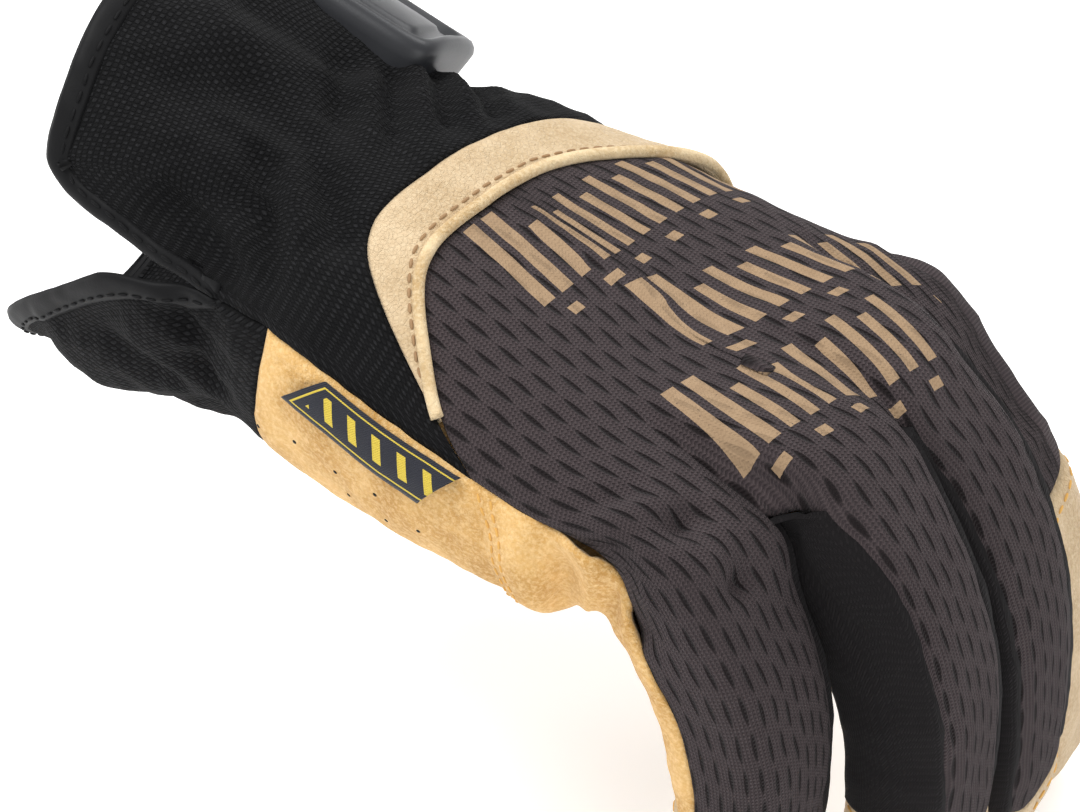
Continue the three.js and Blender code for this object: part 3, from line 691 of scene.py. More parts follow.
def linear(hex_colour: str) -> tuple[float, float, float, float]:
    """Linear colour of an sRGB hex value."""
    parts = [int(hex_colour[k : k + 2], 16) / 255 for k in (1, 3, 5)]
    r, g, b = (c / 12.92 if c <= 0.04045 else ((c + 0.055) / 1.055) ** 2.4 for c in parts)
    return (r, g, b, 1.0)


@dataclass(frozen=True)
class Signal:
    """A number in a material's node tree, which takes plain arithmetic."""

    shader: "Shader"
    socket: bpy.types.NodeSocket

    def __add__(self, other: "Signal | float") -> "Signal":
        return self.shader.math("ADD", self, other)

    def __radd__(self, other: float) -> "Signal":
        return self.shader.math("ADD", other, self)

    def __sub__(self, other: "Signal | float") -> "Signal":
        return self.shader.math("SUBTRACT", self, other)

    def __rsub__(self, other: float) -> "Signal":
        return self.shader.math("SUBTRACT", other, self)

    def __mul__(self, other: "Signal | float") -> "Signal":
        return self.shader.math("MULTIPLY", self, other)

    def __truediv__(self, other: "Signal | float") -> "Signal":
        return self.shader.math("DIVIDE", self, other)

    def __mod__(self, other: float) -> "Signal":
        return self.shader.math("MODULO", self, other)

    def __pow__(self, other: float) -> "Signal":
        return self.shader.math("POWER", self, other)

    def __abs__(self) -> "Signal":
        return self.shader.math("ABSOLUTE", self)

    def __lt__(self, other: "Signal | float") -> "Signal":
        return self.shader.math("LESS_THAN", self, other)

    def __gt__(self, other: "Signal | float") -> "Signal":
        return self.shader.math("GREATER_THAN", self, other)


class Shader:
    """A principled material with short ways to add nodes."""

    def __init__(self, name: str, roughness: float, sheen: float = 0.0, shine: float = 0.3) -> None:
        self.material = bpy.data.materials.new(name)
        self.material.use_nodes = True
        self.tree = self.material.node_tree
        self.bsdf = self.tree.nodes["Principled BSDF"]
        self.bsdf.inputs["Roughness"].default_value = roughness
        self.bsdf.inputs["Sheen Weight"].default_value = sheen
        self.bsdf.inputs["Sheen Roughness"].default_value = 0.5
        self.bsdf.inputs["Specular IOR Level"].default_value = shine

    def node(self, kind: str, links: dict | None = None, **settings) -> bpy.types.Node:
        """Adds a node, sets its properties and feeds its inputs.

        Args:
            kind: Type of the node, without its usual start.
            links: Input name or number, and the value or signal that feeds it.
            **settings: Properties of the node.

        Returns:
            The node.
        """
        made = self.tree.nodes.new(f"ShaderNode{kind}")
        for key, value in settings.items():
            setattr(made, key, value)
        for key, value in (links or {}).items():
            self.feed(made.inputs[key], value)
        return made

    def feed(self, socket: bpy.types.NodeSocket, value) -> None:
        """Links a signal or socket into an input, or sets its value."""
        value = value.socket if isinstance(value, Signal) else value
        if isinstance(value, bpy.types.NodeSocket):
            self.tree.links.new(value, socket)
        else:
            socket.default_value = value

    def first(self, kind: str, links: dict, **settings) -> Signal:
        """First output of an added node."""
        return Signal(self, self.node(kind, links, **settings).outputs[0])

    def math(self, operation: str, *values: Signal | float) -> Signal:
        """Result of a maths node."""
        return self.first("Math", dict(enumerate(values)), operation=operation)

    def fraction(self, value: Signal) -> Signal:
        """Part of a value after the point."""
        return self.math("FRACT", value)

    def between(self, value: Signal, low: float, high: Signal | float) -> Signal:
        """One where a value lies between two bounds, else zero."""
        return (value > low) * (value < high)

    def mix(self, factor: Signal, a, b) -> bpy.types.NodeSocket:
        """Colour mixed from a to b."""
        return self.node("Mix", {0: factor, 6: a, 7: b}, data_type="RGBA").outputs[2]

    def step(self, value: Signal, low: float, high: float) -> Signal:
        """Smooth step of a value from 0 at low to 1 at high."""
        links = {"Value": value, "From Min": low, "From Max": high}
        return self.first("MapRange", links, interpolation_type="SMOOTHSTEP")

    def noise(self, scale: float, detail: float = 3.0, rough: float = 0.55) -> Signal:
        """Noise over the object's own coordinates, scale per millimetre."""
        coords = self.node("TexCoord").outputs["Object"]
        links = {"Vector": coords, "Scale": scale / MM, "Detail": detail, "Roughness": rough}
        return self.first("TexNoise", links)

    def cell_edges(self, scale: float) -> Signal:
        """Distance to the edges of a cell pattern over the object's own coordinates."""
        coords = self.node("TexCoord").outputs["Object"]
        links = {"Vector": coords, "Scale": scale / MM}
        return self.first("TexVoronoi", links, feature="DISTANCE_TO_EDGE")

    def cloth(self) -> tuple[Signal, Signal]:
        """Flat cloth coordinates in millimetres, along and across."""
        parts = self.node("SeparateXYZ", {0: self.first("UVMap", {}, uv_map="cloth")}).outputs
        return Signal(self, parts[0]) / MM, Signal(self, parts[1]) / MM

    def bump(
        self,
        height: Signal,
        distance: float,
        strength: float = 1.0,
        under: bpy.types.NodeSocket | None = None,
    ) -> bpy.types.NodeSocket:
        """Bump normal from a height of 0 to 1.

        Args:
            height: The height.
            distance: Size of a step of 1, mm.
            strength: Share of it that shows.
            under: Normal that the bump lies on.

        Returns:
            The normal.
        """
        links = {"Height": height, "Distance": distance * MM, "Strength": strength}
        if under is not None:
            links["Normal"] = under
        return self.node("Bump", links).outputs[0]

    def done(self, colour, normal=None) -> bpy.types.Material:
        """Links the finish and returns the material."""
        self.feed(self.bsdf.inputs["Base Color"], colour)
        if normal is not None:
            self.feed(self.bsdf.inputs["Normal"], normal)
        return self.material


@dataclass(frozen=True)
class PrintRow:
    """One row of plain slanted bars with small marks under them, on the flat knit.

    Attributes:
        corner: Near corner, mm.
        long: Long side, mm.
        short: Short side, mm.
        bars: Number of bars.
        lean: Bars that each one leans over.
        top: Height of every second bar, share of the short side.
        taller: How much higher the others are.
        stroke: Half width of a bar, share of its room.
        wider: How much wider the first two are.
    """

    corner: tuple[float, float]
    long: tuple[float, float]
    short: tuple[float, float]
    bars: float
    lean: float = 0.55
    top: float = 0.68
    taller: float = 0.14
    stroke: float = 0.24
    wider: float = 0.07

    def mask(self, sh: Shader, along: Signal, across: Signal) -> Signal:
        """Mask of the row's bars and the small marks under them."""
        area = self.long[0] * self.short[1] - self.long[1] * self.short[0]
        du = along - self.corner[0]
        dv = across - self.corner[1]
        a = (du * self.short[1] - dv * self.short[0]) / area
        b = (dv * self.long[0] - du * self.long[1]) / area
        place = a * self.bars - b * self.lean
        number = sh.math("FLOOR", place)
        off_middle = abs(sh.fraction(place) - 0.5)
        first = number < 1.5
        top = sh.math("MAXIMUM", abs(number) % 2.0 * self.taller + self.top, first)
        bars = sh.between(b, 0.0, top) * (off_middle < first * self.wider + self.stroke)
        bars = bars * sh.between(place, 0.0, self.bars)
        dash = abs(sh.fraction(a * (self.bars * 0.5)) - 0.5)
        marks = sh.between(b, -0.24, -0.14) * (dash < 0.14) * sh.between(a, 0.0, 0.98)
        return sh.math("MAXIMUM", bars, marks)


@dataclass(frozen=True)
class KnitFinish:
    """Ribbed knit with staggered slits and a print of plain bars; painted shade fills the slits and painted
    highlights lie on the raised loops.
    """

    yarn: str = "#342d2f"
    # painted highlight: the lighter yarn colour on the raised loops
    light: str = "#4a4142"
    # painted shade: the near-black colour that fills the slits
    slit_shade: str = "#171213"
    ink: str = "#8a7259"
    light_ink: str = "#a38a6e"
    rib: float = 3.0
    repeat: float = 7.2
    loop: float = 0.72
    rows: tuple[PrintRow, ...] = (
        PrintRow((116.5, 30.0), (9.0, 60.0), (-19.0, -1.0), 13.0),
        PrintRow((142.0, 44.0), (17.0, 50.0), (-18.5, -3.0), 11.0),
        PrintRow((159.5, 26.0), (14.0, 42.0), (-19.0, 2.0), 10.0),
    )

    def build(self) -> bpy.types.Material:
        """Makes the material."""
        sh = Shader("ribbed knit", 0.95, sheen=0.04, shine=0.12)
        along, across = sh.cloth()
        place = (across + (sh.noise(0.05, 2.0) - 0.5) * 1.6) / self.rib
        number = sh.math("FLOOR", place)
        side = sh.fraction(place) - 0.5
        wander = sh.first("TexWhiteNoise", {"W": number}, noise_dimensions="1D")
        stagger = abs(number) % 2.0 * 0.5 + wander * 0.26
        along_slit = sh.fraction(along / self.repeat + stagger) - 0.5
        slit = sh.step(abs(along_slit / 0.4) ** 2.0 + abs(side / 0.155) ** 2.0, 1.35, 0.25)
        printed = self.rows[0].mask(sh, along, across)
        for row in self.rows[1:]:
            printed = sh.math("MAXIMUM", printed, row.mask(sh, along, across))
        bare = 1.0 - printed
        # Loops of the knit: legs that lean to both sides of every wale
        lean = abs(sh.fraction(side * 4.0) - 0.5)
        loops = sh.math("SINE", (along / self.loop + lean * 1.1) * (2 * math.pi))
        wales = sh.math("COSINE", side * (8 * math.pi))
        ribs = sh.math("COSINE", side * (2 * math.pi))
        fine = (loops * 0.16 - wales * 0.14) * (bare * 0.75 + 0.25)
        dark = slit * (bare * 0.78 + 0.22)
        height = ribs * 0.14 + fine - dark * 0.85
        # Painted highlight: the raised loops get the lighter yarn colour, with some random variation
        raised_highlight = sh.step(fine + sh.noise(1.2) * 0.3, -0.15, 0.42)
        colour = sh.mix(raised_highlight, linear(self.yarn), linear(self.light))
        worn = printed * sh.step(sh.noise(2.2), 0.22, 0.36)
        colour = sh.mix(worn, colour, sh.mix(sh.noise(0.5), linear(self.ink), linear(self.light_ink)))
        # Painted shade in the slits, weaker where the print covers them
        colour = sh.mix(dark * 0.9, colour, linear(self.slit_shade))
        fuzz = sh.bump(sh.noise(4.0, 2.0), 0.1, 0.5)
        return sh.done(colour, sh.bump(height, 0.7, 1.0, fuzz))


@dataclass(frozen=True)
class LeatherFinish:
    """Suede or grain leather: clouded colour, pores between cells, creases and a nap."""

    name: str
    base: str
    shade: str
    light: str
    rough: float
    grain: float
    nap: float

    def build(self) -> bpy.types.Material:
        """Makes the material."""
        sh = Shader(self.name, self.rough, sheen=0.1)
        cloud = sh.step(sh.noise(0.085, 4.0), 0.35, 0.68)
        colour = sh.mix(cloud, linear(self.shade), linear(self.base))
        speck = sh.step(sh.noise(1.3, 4.0, 0.7), 0.38, 0.7)
        colour = sh.mix(speck * 0.5, colour, linear(self.light))
        pores = 1.0 - sh.step(sh.cell_edges(1.15), 0.0, 0.16)
        colour = sh.mix(pores * (0.25 * self.grain), colour, linear(self.shade))
        crease = sh.step(sh.noise(0.42, 5.0, 0.62), 0.3, 0.7)
        nap = sh.bump(sh.noise(2.4, 4.0, 0.7), 0.16, self.nap)
        return sh.done(colour, sh.bump(crease * 0.7 - pores * self.grain, 0.35, 0.8, nap))


@dataclass(frozen=True)
class WeaveFinish:
    """Black cloth in a coarse basket weave or a fine stretch knit, with painted highlights on the raised
    threads and painted shade between them.
    """

    name: str
    base: str
    # painted highlight: the lighter colour on the raised thread crossings
    light: str
    thread: float
    depth: float

    def build(self) -> bpy.types.Material:
        """Makes the material."""
        sh = Shader(self.name, 0.85, sheen=0.02, shine=0.1)
        along, across = sh.cloth()
        wander = (sh.noise(0.12, 2.0) - 0.5) * 1.4
        warp = sh.math("SINE", (along + wander) / self.thread * math.pi)
        weft = sh.math("SINE", (across + wander) / (self.thread * 0.85) * math.pi)
        knot = warp * weft
        over = sh.step(knot, 0.05, 0.75)
        under = sh.step(knot * -1.0, 0.1, 0.8)
        fibre = sh.step(sh.noise(1.9, 4.0, 0.7), 0.4, 0.75)
        height = over * 0.75 + under * 0.35 + fibre * 0.12
        # Painted highlight on the raised thread crossings and painted shade between them, varied by random
        # fibre
        raised_highlight = (over * 0.6 + under * 0.15) * (fibre * 0.8 + 0.45)
        fuzz = sh.bump(sh.noise(3.0), 0.1, 0.5)
        colour = sh.mix(raised_highlight, linear(self.base), linear(self.light))
        return sh.done(colour, sh.bump(height, self.depth, 1.0, fuzz))


@dataclass(frozen=True)
class PlainFinish:
    """Smooth tape, thread or moulded rubber."""

    name: str
    base: str
    rough: float
    grain: float = 0.06
    shine: float = 0.12

    def build(self) -> bpy.types.Material:
        """Makes the material."""
        sh = Shader(self.name, self.rough, shine=self.shine)
        dark = linear(self.base)
        light = (*(1.25 * c for c in dark[:3]), 1.0)
        return sh.done(sh.mix(sh.noise(0.3), dark, light), sh.bump(sh.noise(1.8, 4.0), self.grain, 0.6))


@dataclass(frozen=True)
class LabelFinish:
    """Woven label with a thin frame and plain slanted bars."""

    ground: str = "#191b26"
    thread: str = "#c9b13c"
    length: float = 36.0
    height: float = 13.0
    bar_step: float = 5.2
    rib: float = 0.45

    def build(self) -> bpy.types.Material:
        """Makes the material."""
        sh = Shader("woven label", 0.6, sheen=0.1)
        along, across = sh.cloth()
        from_ends = sh.math("MINIMUM", along, self.length - along)
        from_sides = sh.math("MINIMUM", across, self.height - across)
        edge = sh.math("MINIMUM", from_ends, from_sides)
        slant = sh.fraction((along + across * 0.8) / self.bar_step)
        bars = (slant < 0.34) * (edge > 3.4)
        woven = sh.math("MAXIMUM", sh.between(edge, 1.2, 1.65), bars)
        ribs = sh.math("SINE", along * (2 * math.pi / self.rib))
        colour = sh.mix(woven, linear(self.ground), linear(self.thread))
        return sh.done(colour, sh.bump(ribs * 0.25 + woven * 0.5, 0.18))


class Finishes:
    """All materials of the glove."""

    def __init__(self) -> None:
        self.knit = KnitFinish().build()
        self.suede = LeatherFinish("golden suede", "#d8ad6c", "#b98b48", "#f2d5a2", 0.92, 0.15, 0.9).build()
        self.pale = LeatherFinish("pale leather", "#c7af8c", "#b39974", "#d8c4a2", 0.62, 0.3, 0.3).build()
        self.bead = LeatherFinish("suede edge", "#dcc39a", "#b99a6c", "#ecdab6", 0.95, 0.1, 1.4).build()
        self.stretch = WeaveFinish("stretch cloth", "#171516", "#262324", 0.8, 0.18).build()
        self.woven = WeaveFinish("cuff cloth", "#0b0b0c", "#303032", 1.05, 0.4).build()
        self.tape = PlainFinish("binding tape", "#111112", 0.55).build()
        self.rubber = PlainFinish("moulded rubber", "#232427", 0.4, 0.03, 0.35).build()
        self.gold_thread = PlainFinish("gold thread", "#c79a55", 0.7, 0.1).build()
        # this black also paints the shade of the palm vents
        self.black_thread = PlainFinish("black thread", "#0e0e0f", 0.6, 0.1).build()
        self.brown_thread = PlainFinish("brown thread", "#8f7355", 0.7, 0.1).build()
        self.label = LabelFinish().build()


def skin_frame(surface: Callable[[Array, Array], Array], a: Array, b: Array) -> tuple[Array, Array]:
    """Points and outward directions of a surface.

    Args:
        surface: Function of two coordinates.
        a: First coordinate, along.
        b: Second coordinate, a turn.

    Returns:
        Points and unit normals, one row each.
    """
    p = surface(a, b)
    du = surface(a + 0.3, b) - surface(a - 0.3, b)
    dv = surface(a, b + 0.002) - surface(a, b - 0.002)
    n = np.cross(du, dv)
    return p, n / np.linalg.norm(n, axis=-1, keepdims=True)


def resample(points: Array, step: float) -> Array:
    """Points at even steps along a line, with every other column carried along."""
    gaps = np.linalg.norm(np.diff(points[:, :3], axis=0), axis=1)
    s = np.concatenate([[0], np.cumsum(gaps)])
    at = np.arange(0, s[-1], step)
    return np.stack([np.interp(at, s, points[:, k]) for k in range(points.shape[1])], -1)


@dataclass
class Thread:
    """A run of stitches or a round cord laid on the skin."""

    name: str
    material: bpy.types.Material
    cloth: Cloth
    bm: bmesh.types.BMesh = field(default_factory=bmesh.new)

    @staticmethod
    def seat(piece: bpy.types.Object, points: Array, normals: Array, out: float = 2.5) -> tuple[Array, Array]:
        """Moves points onto a piece's outer face."""
        seated, facing = [], []
        for p, n in zip(points, normals):
            hit, spot, face, _ = piece.closest_point_on_mesh(Vector((p + n * out - MOUTH) * MM))
            good = hit and Vector(n).dot(face) > 0.2
            seated.append(np.array(spot) / MM + MOUTH if good else p)
            facing.append(np.array(face) if good else n)
        return np.array(seated), np.array(facing)

    def stitches(self, points: Array, normals: Array, length: float, gap: float, radius: float) -> None:
        """Adds a row of stitches along points, each a short rounded thread.

        Args:
            points: Points of the line.
            normals: Outward directions at the points.
            length: Length of a stitch.
            gap: Room between two stitches.
            radius: Half its thickness.
        """
        line = resample(np.hstack([points, normals]), length + gap)
        for a, b in zip(line[:-1], line[1:]):
            way = b[:3] - a[:3]
            reach = np.linalg.norm(way)
            if reach < 0.5 * length or reach > 2 * (length + gap):
                continue
            way = way / reach
            out = a[3:] / np.linalg.norm(a[3:])
            side = np.cross(way, out)
            middle = a[:3] + way * length / 2 + out * radius * 0.35
            made = bmesh.ops.create_uvsphere(self.bm, u_segments=8, v_segments=6, radius=1.0)["verts"]
            for vert in made:
                x, y, z = vert.co
                z = math.copysign(abs(z) ** 0.7, z)
                at = middle + way * z * length / 2 + out * x * radius + side * y * radius * 1.25
                vert.co = (at - MOUTH) * MM

    def disc(self, point: Array, normal: Array, radius: float) -> None:
        """Adds a flat dark disc, painted shade that stands for a small hole."""
        turn = Vector(normal).to_track_quat("Z", "Y").to_matrix().to_4x4()
        turn.translation = Vector((point + normal * 0.03 - MOUTH) * MM)
        wide = radius * MM
        bmesh.ops.create_cone(
            self.bm, cap_ends=True, segments=14, radius1=wide, radius2=0.8 * wide, depth=0.1 * MM, matrix=turn
        )

    def cord(self, points: Array, normals: Array, radius: float, sides: int = 10) -> None:
        """Adds a round cord along points."""
        rings = []
        ways = np.gradient(points, axis=0)
        for p, n, way in zip(points, normals, ways):
            way = way / np.linalg.norm(way)
            side = np.cross(way, n)
            made = bmesh.ops.create_circle(self.bm, segments=sides, radius=1.0)["verts"]
            for vert in made:
                vert.co = (p + n * vert.co.x * radius + side * vert.co.y * radius - MOUTH) * MM
            rings.append({e for v in made for e in v.link_edges})
        for a, b in zip(rings[:-1], rings[1:]):
            bmesh.ops.bridge_loops(self.bm, edges=list(a | b))
        for ring in (rings[0], rings[-1]):
            bmesh.ops.holes_fill(self.bm, edges=list(ring), sides=0)

    def finish(self) -> bpy.types.Object:
        """Makes the object."""
        bmesh.ops.recalc_face_normals(self.bm, faces=self.bm.faces)
        return make_piece(self.bm, self.name, self.material)


def steps_for(length: float, least: int = 2) -> int:
    """Number of grid steps over a length."""
    return max(least, round(length / SURFACE_STEP))


@dataclass
class HandPanels:
    """Back and palm panels and the walls between the fingers.

    Attributes:
        finishes: The materials.
        back: Columns over the back.
        palm: Columns under the palm.
        rows: Grid rows from the rear edge to the last hand section.
        thumb_border: Edge of the thumb opening, its share of the way round and its points.
    """

    finishes: Finishes
    back: list[Column] = field(init=False)
    palm: list[Column] = field(init=False)
    rows: int = field(init=False)
    thumb_border: list[tuple[float, Array]] = field(init=False)

    def __post_init__(self) -> None:
        """Works out the columns of both panels."""
        steps = steps_for(22)
        self.rows = 5 * steps_for(8)
        self.back = make_columns(True, steps)
        self.palm = make_columns(False, steps)

    @staticmethod
    def across(columns: list[Column], above: bool) -> tuple[Array, Array]:
        """Flat coordinates across of every column, on the hand and at the finger roots."""
        hand = np.stack([hand_point(END_X, turn_at(c.share, END_X, above)) for c in columns])
        on_hand = np.concatenate([[0], np.cumsum(np.linalg.norm(np.diff(hand, axis=0), axis=1))])
        roots = np.stack([c.end()[0] for c in columns])
        gaps = np.linalg.norm(np.diff(roots, axis=0), axis=1)
        on_finger = on_hand.copy()
        lead = next(k for k, c in enumerate(columns) if c.ends[0][1] >= LITTLE_SIDE - 1e-6) if above else 0
        for k in range(lead - 1, -1, -1):
            on_finger[k] = on_finger[k + 1] - gaps[k]
        return on_hand, on_finger

    def hand_patch(self, columns: list[Column], above: bool, start: Callable[[float], float]) -> Patch:
        """Patch from an edge over the hand to the finger roots."""
        t = np.linspace(0, 1, steps_for(24) + 1)[1:]
        ease = t * t * (3 - 2 * t)
        on_hand, on_finger = self.across(columns, above)
        strips, begin, side = [], [], []
        for column, v0, v1 in zip(columns, on_hand, on_finger):
            x0 = start(column.share)
            marks = (x0, END_X) if above else (x0, SPLIT_X, END_X)
            rows = (self.rows,) if above else (self.rows, steps_for(12))
            parts = [np.linspace(a, b, n + 1)[:-1] for a, b, n in zip(marks, marks[1:], rows)]
            x = np.concatenate([*parts, [END_X]])
            hand = hand_point(x, turn_at(column.share, x, above))
            strips.append(np.vstack([hand, knuckle_strip(column, above, t)]))
            side.append(np.concatenate([np.full(len(hand), v0), v0 + (v1 - v0) * ease]))
            begin.append(x0)
        return Patch.from_strips(strips, side, begin)

    def finger_patches(self, columns: list[Column], above: bool, hand: Patch) -> list[Patch]:
        """Patches along the fingers, from their roots to the tip caps."""
        across = self.across(columns, above)[1]
        reach = hand.cloth[:, -1, 0]
        patches = []
        for index, finger in enumerate(FINGERS):
            strips, side, start = [], [], []
            for column, v, u in zip(columns, across, reach):
                turn = next((t for i, t in column.ends if i == index), None)
                if turn is None:
                    continue
                end = float(finger.cap_start(turn))
                s = np.linspace(0, end, steps_for(60) + 1)[1:]
                root = column.end()[0]
                strips.append(np.vstack([root, finger.point(s, turn)]))
                side.append(v)
                start.append(u)
            patches.append(Patch.from_strips(strips, side, start))
        return patches

    def build(self) -> None:
        """Makes the panels."""
        panel = Skin("knit back")
        hand = self.hand_patch(self.back, True, lambda share: edge_at(BAND_HAND_EDGE, share, True))
        for patch in (hand, *self.finger_patches(self.back, True, hand)):
            panel.add(patch)
        panel.weld()
        panel.shape(MAIN_FOLDS + BACK_CREASES + SIDE_PRESS, 0.35, 0.5)
        panel.finish(1.6, Cloth.KNIT, self.finishes.knit, "back_panel")
        self.palm_panel()
        for index in range(3):
            self.wall(index)

    def palm_panel(self) -> None:
        """Makes the suede palm, open where the thumb leaves it."""
        panel = Skin("suede palm")
        patch = self.hand_patch(self.palm, False, lambda share: edge_at(PALM_REAR, share, False))
        first = next(k for k, c in enumerate(self.palm) if c.ends[-1][0] == 3)
        beside = sum(c.ends[-1][0] == 3 and c.ends[-1][1] < -THUMB_SIDE - 1e-6 for c in self.palm)
        hole = (first, len(self.palm) - 1 - beside // 2, self.rows // 5, self.rows)
        panel.add(patch, True, hole)
        self.thumb_border = self.ring(patch.points, hole)
        for finger_patch in self.finger_patches(self.palm, False, patch):
            panel.add(finger_patch, True)
        panel.weld()
        panel.shape(MAIN_FOLDS + PALM_CREASES + SIDE_PRESS, 0.6, 0.5)
        piece = panel.finish(1.8, Cloth.SUEDE, self.finishes.suede, "palm_panel")
        for gap in (0.0, 2.2):
            turn = np.linspace(0.043, -0.1, 60)
            x = 121.3 + gap + 5.0 * np.clip((0.05 - turn) / 0.09, 0, 1)
            seam = Thread(f"palm seam stitches {gap:.0f}", self.finishes.gold_thread, Cloth.SUEDE)
            seam.stitches(*seam.seat(piece, *skin_frame(hand_point, x, turn)), 1.6, 0.8, 0.22)
            seam.finish()
        # Painted shade: the vents are flat black discs in place of real holes
        holes = Thread("vents", self.finishes.black_thread, Cloth.SUEDE)
        x, turn = np.array(VENTS).T
        for p, n in zip(*holes.seat(piece, *skin_frame(hand_point, x, turn))):
            holes.disc(p, n, 0.42)
        holes.finish()

    @staticmethod
    def ring(points: Array, hole: tuple[int, int, int, int]) -> list[tuple[float, Array]]:
        """Edge of the thumb opening as points with their share of the way round."""
        j0, j1, i0, i1 = hole
        path = [(0.3 * (j - j0) / (j1 - j0), points[j, i0]) for j in range(j0, j1)]
        path += [(0.3 + 0.2 * (i - i0) / (i1 - i0), points[j1, i]) for i in range(i0, i1)]
        path += [(0.5 + 0.3 * (j1 - j) / (j1 - j0), points[j, i1]) for j in range(j1, j0, -1)]
        path += [(0.8 + 0.2 * (i1 - i) / (i1 - i0), points[j0, i]) for i in range(i1, i0, -1)]
        return path

    def wall(self, index: int) -> None:
        """Makes the stretch wall between two fingers, its edges tucked under knit and leather."""
        near, far = FINGERS[index], FINGERS[index + 1]
        back_web, palm_web = (
            next(c for c in columns if len(c.ends) == 2 and c.ends[0][0] == index).end()[0]
            for columns in (self.back, self.palm)
        )
        strips = []
        count = steps_for(20)
        for k in range(-1, count + 2):
            f = k / count
            tuck = WALL_TUCK if k in (-1, count + 1) else 0.0
            f += WALL_LAP * (tuck > 0) * math.copysign(1, f)
            a = THUMB_SIDE + WALL_TURNS * f
            b = LITTLE_SIDE - WALL_TURNS * f
            web = back_web if k <= 0 else palm_web if k >= count else (near.point(0, a) + far.point(0, b)) / 2
            s_near = np.linspace(float(near.cap_start(a)), 0, steps_for(60) + 1)[:-1]
            s_far = np.linspace(0, float(far.cap_start(b)), steps_for(60) + 1)[1:]
            sides = [(near, s_near, a), (far, s_far, b)]
            one, two = (g.point(s, u) * (1 - tuck) + g.point(s, u + 0.5) * tuck for g, s, u in sides)
            strips.append(np.vstack([one, web, two]))
        side = list(np.linspace(0, 22, len(strips)))
        skin = Skin(f"stretch wall {near.name} {far.name}")
        skin.add(Patch.from_strips(strips, side, [0.0] * len(strips)))
        skin.weld()
        skin.shape(SIDE_PRESS, 0.35, 0.0)
        skin.finish(1.2, Cloth.STRETCH, self.finishes.stretch, f"wall_{near.name}_{far.name}")


@dataclass
class Tips:
    """Pale fingertip caps with their stitched edges."""

    finishes: Finishes

    def build(self) -> None:
        """Makes the four caps."""
        for finger in FINGERS:
            turns = np.linspace(0, 1, steps_for(80) + 1)
            strips = []
            for turn in turns:
                start = float(finger.cap_start(turn))
                f = np.linspace(0, 1, steps_for(40) + 1) ** 0.8
                strips.append(finger.point(start + (finger.length - start) * f, turn))
            patch = Patch.from_strips(strips, list(turns * 82), [0.0] * len(strips))
            skin = Skin(f"tip {finger.name}")
            skin.add(patch)
            skin.weld()
            skin.shape((), 0.45, 0.8, 0.15)
            cap = skin.finish(1.6, Cloth.PALE, self.finishes.pale, f"tip_{finger.name}")
            thread = Thread(f"tip stitches {finger.name}", self.finishes.gold_thread, Cloth.PALE)
            p, n = thread.seat(cap, *skin_frame(finger.point, finger.cap_start(turns) + 3.0, turns), 1.5)
            thread.stitches(p, n, 2.0, 0.8, 0.26)
            thread.finish()


@dataclass
class Thumb:
    """The thumb, a bent tube that leaves the palm, in two halves and a tip cap.

    Attributes:
        finishes: The materials.
        border: Edge of the thumb opening, from the palm.
        length: Root to tip.
        half: Half width, root and tip.
        pitch: Lean below level at even steps, degrees.
        yaw: Lean towards the index side at even steps, degrees.
        cap_from: Share of the length where the tip cap begins.
    """

    finishes: Finishes
    border: list[tuple[float, Array]]
    length: float = 70.0
    half: tuple[float, float] = (14.0, 11.5)
    pitch: tuple[float, float, float] = (30, 40, 52)
    yaw: tuple[float, float, float] = (72, 30, 6)
    cap_from: float = 0.8

    def axis(self, steps: int) -> tuple[Array, Array]:
        """Points and directions of the thumb's middle line."""
        f = np.linspace(0, 1, steps + 1)
        pitch = np.radians(spline(np.array(self.pitch, float)[:, None], f * 2)[:, 0])
        yaw = np.radians(spline(np.array(self.yaw, float)[:, None], f * 2)[:, 0])
        along = np.stack([np.cos(pitch) * np.cos(yaw), np.sin(yaw) * np.cos(pitch), -np.sin(pitch)], -1)
        root = np.mean([p for _, p in self.border], axis=0)
        steps_moved = np.vstack([np.zeros(3), np.cumsum(along[:-1], 0)]) * self.length / steps
        return root + steps_moved, along

    def build(self) -> None:
        """Makes the thumb."""
        rows = 5 * steps_for(14)
        line, along = self.axis(rows)
        shares = np.array([f for f, _ in self.border])
        edge = np.array([p for _, p in self.border])
        first = along[0]
        flat = edge - line[0]
        flat -= np.outer(flat @ first, first)
        side0 = flat[0] / np.linalg.norm(flat[0])
        out0 = np.cross(first, side0)
        sign = np.sign(flat[len(flat) // 10] @ out0) or 1.0
        angle = sign * shares * 2 * math.pi
        rings = []
        for k in range(rows + 1):
            f = k / rows
            side = side0 - (side0 @ along[k]) * along[k]
            side /= np.linalg.norm(side)
            out = np.cross(along[k], side)
            close = max((f - self.cap_from) / (1 - self.cap_from), 0.0)
            radius = (self.half[0] + (self.half[1] - self.half[0]) * f) * math.sqrt(max(0.0, 1 - close**2.4))
            ring = line[k] + np.outer(np.cos(angle), side) * radius + np.outer(np.sin(angle), out) * radius
            blend = max(0.0, 1 - f / 0.3) ** 1.5
            ring = ring + (edge - ring) * blend
            rings.append(np.vstack([ring, ring[:1]]))
        points = np.stack(rings, 1)
        cut = round(rows * self.cap_from)
        half = int(np.searchsorted(shares, 0.5 - 1e-9))
        parts = (
            ("thumb front", points[: half + 1, : cut + 1], Cloth.SUEDE, self.finishes.suede, "thumb_front"),
            ("thumb back", points[half:, : cut + 1], Cloth.STRETCH, self.finishes.stretch, "thumb_back"),
            ("thumb cap", points[:, cut:], Cloth.PALE, self.finishes.pale, "tip_thumb"),
        )
        for name, grid, cloth, material, node in parts:
            skin = Skin(name)
            side = list(np.arange(len(grid)) * 1.4)
            skin.add(Patch.from_strips(list(grid), side, [0.0] * len(grid)), True)
            skin.weld()
            skin.shape(THUMB_CREASES, 0.5, 0.7)
            skin.finish(1.6, cloth, material, node)


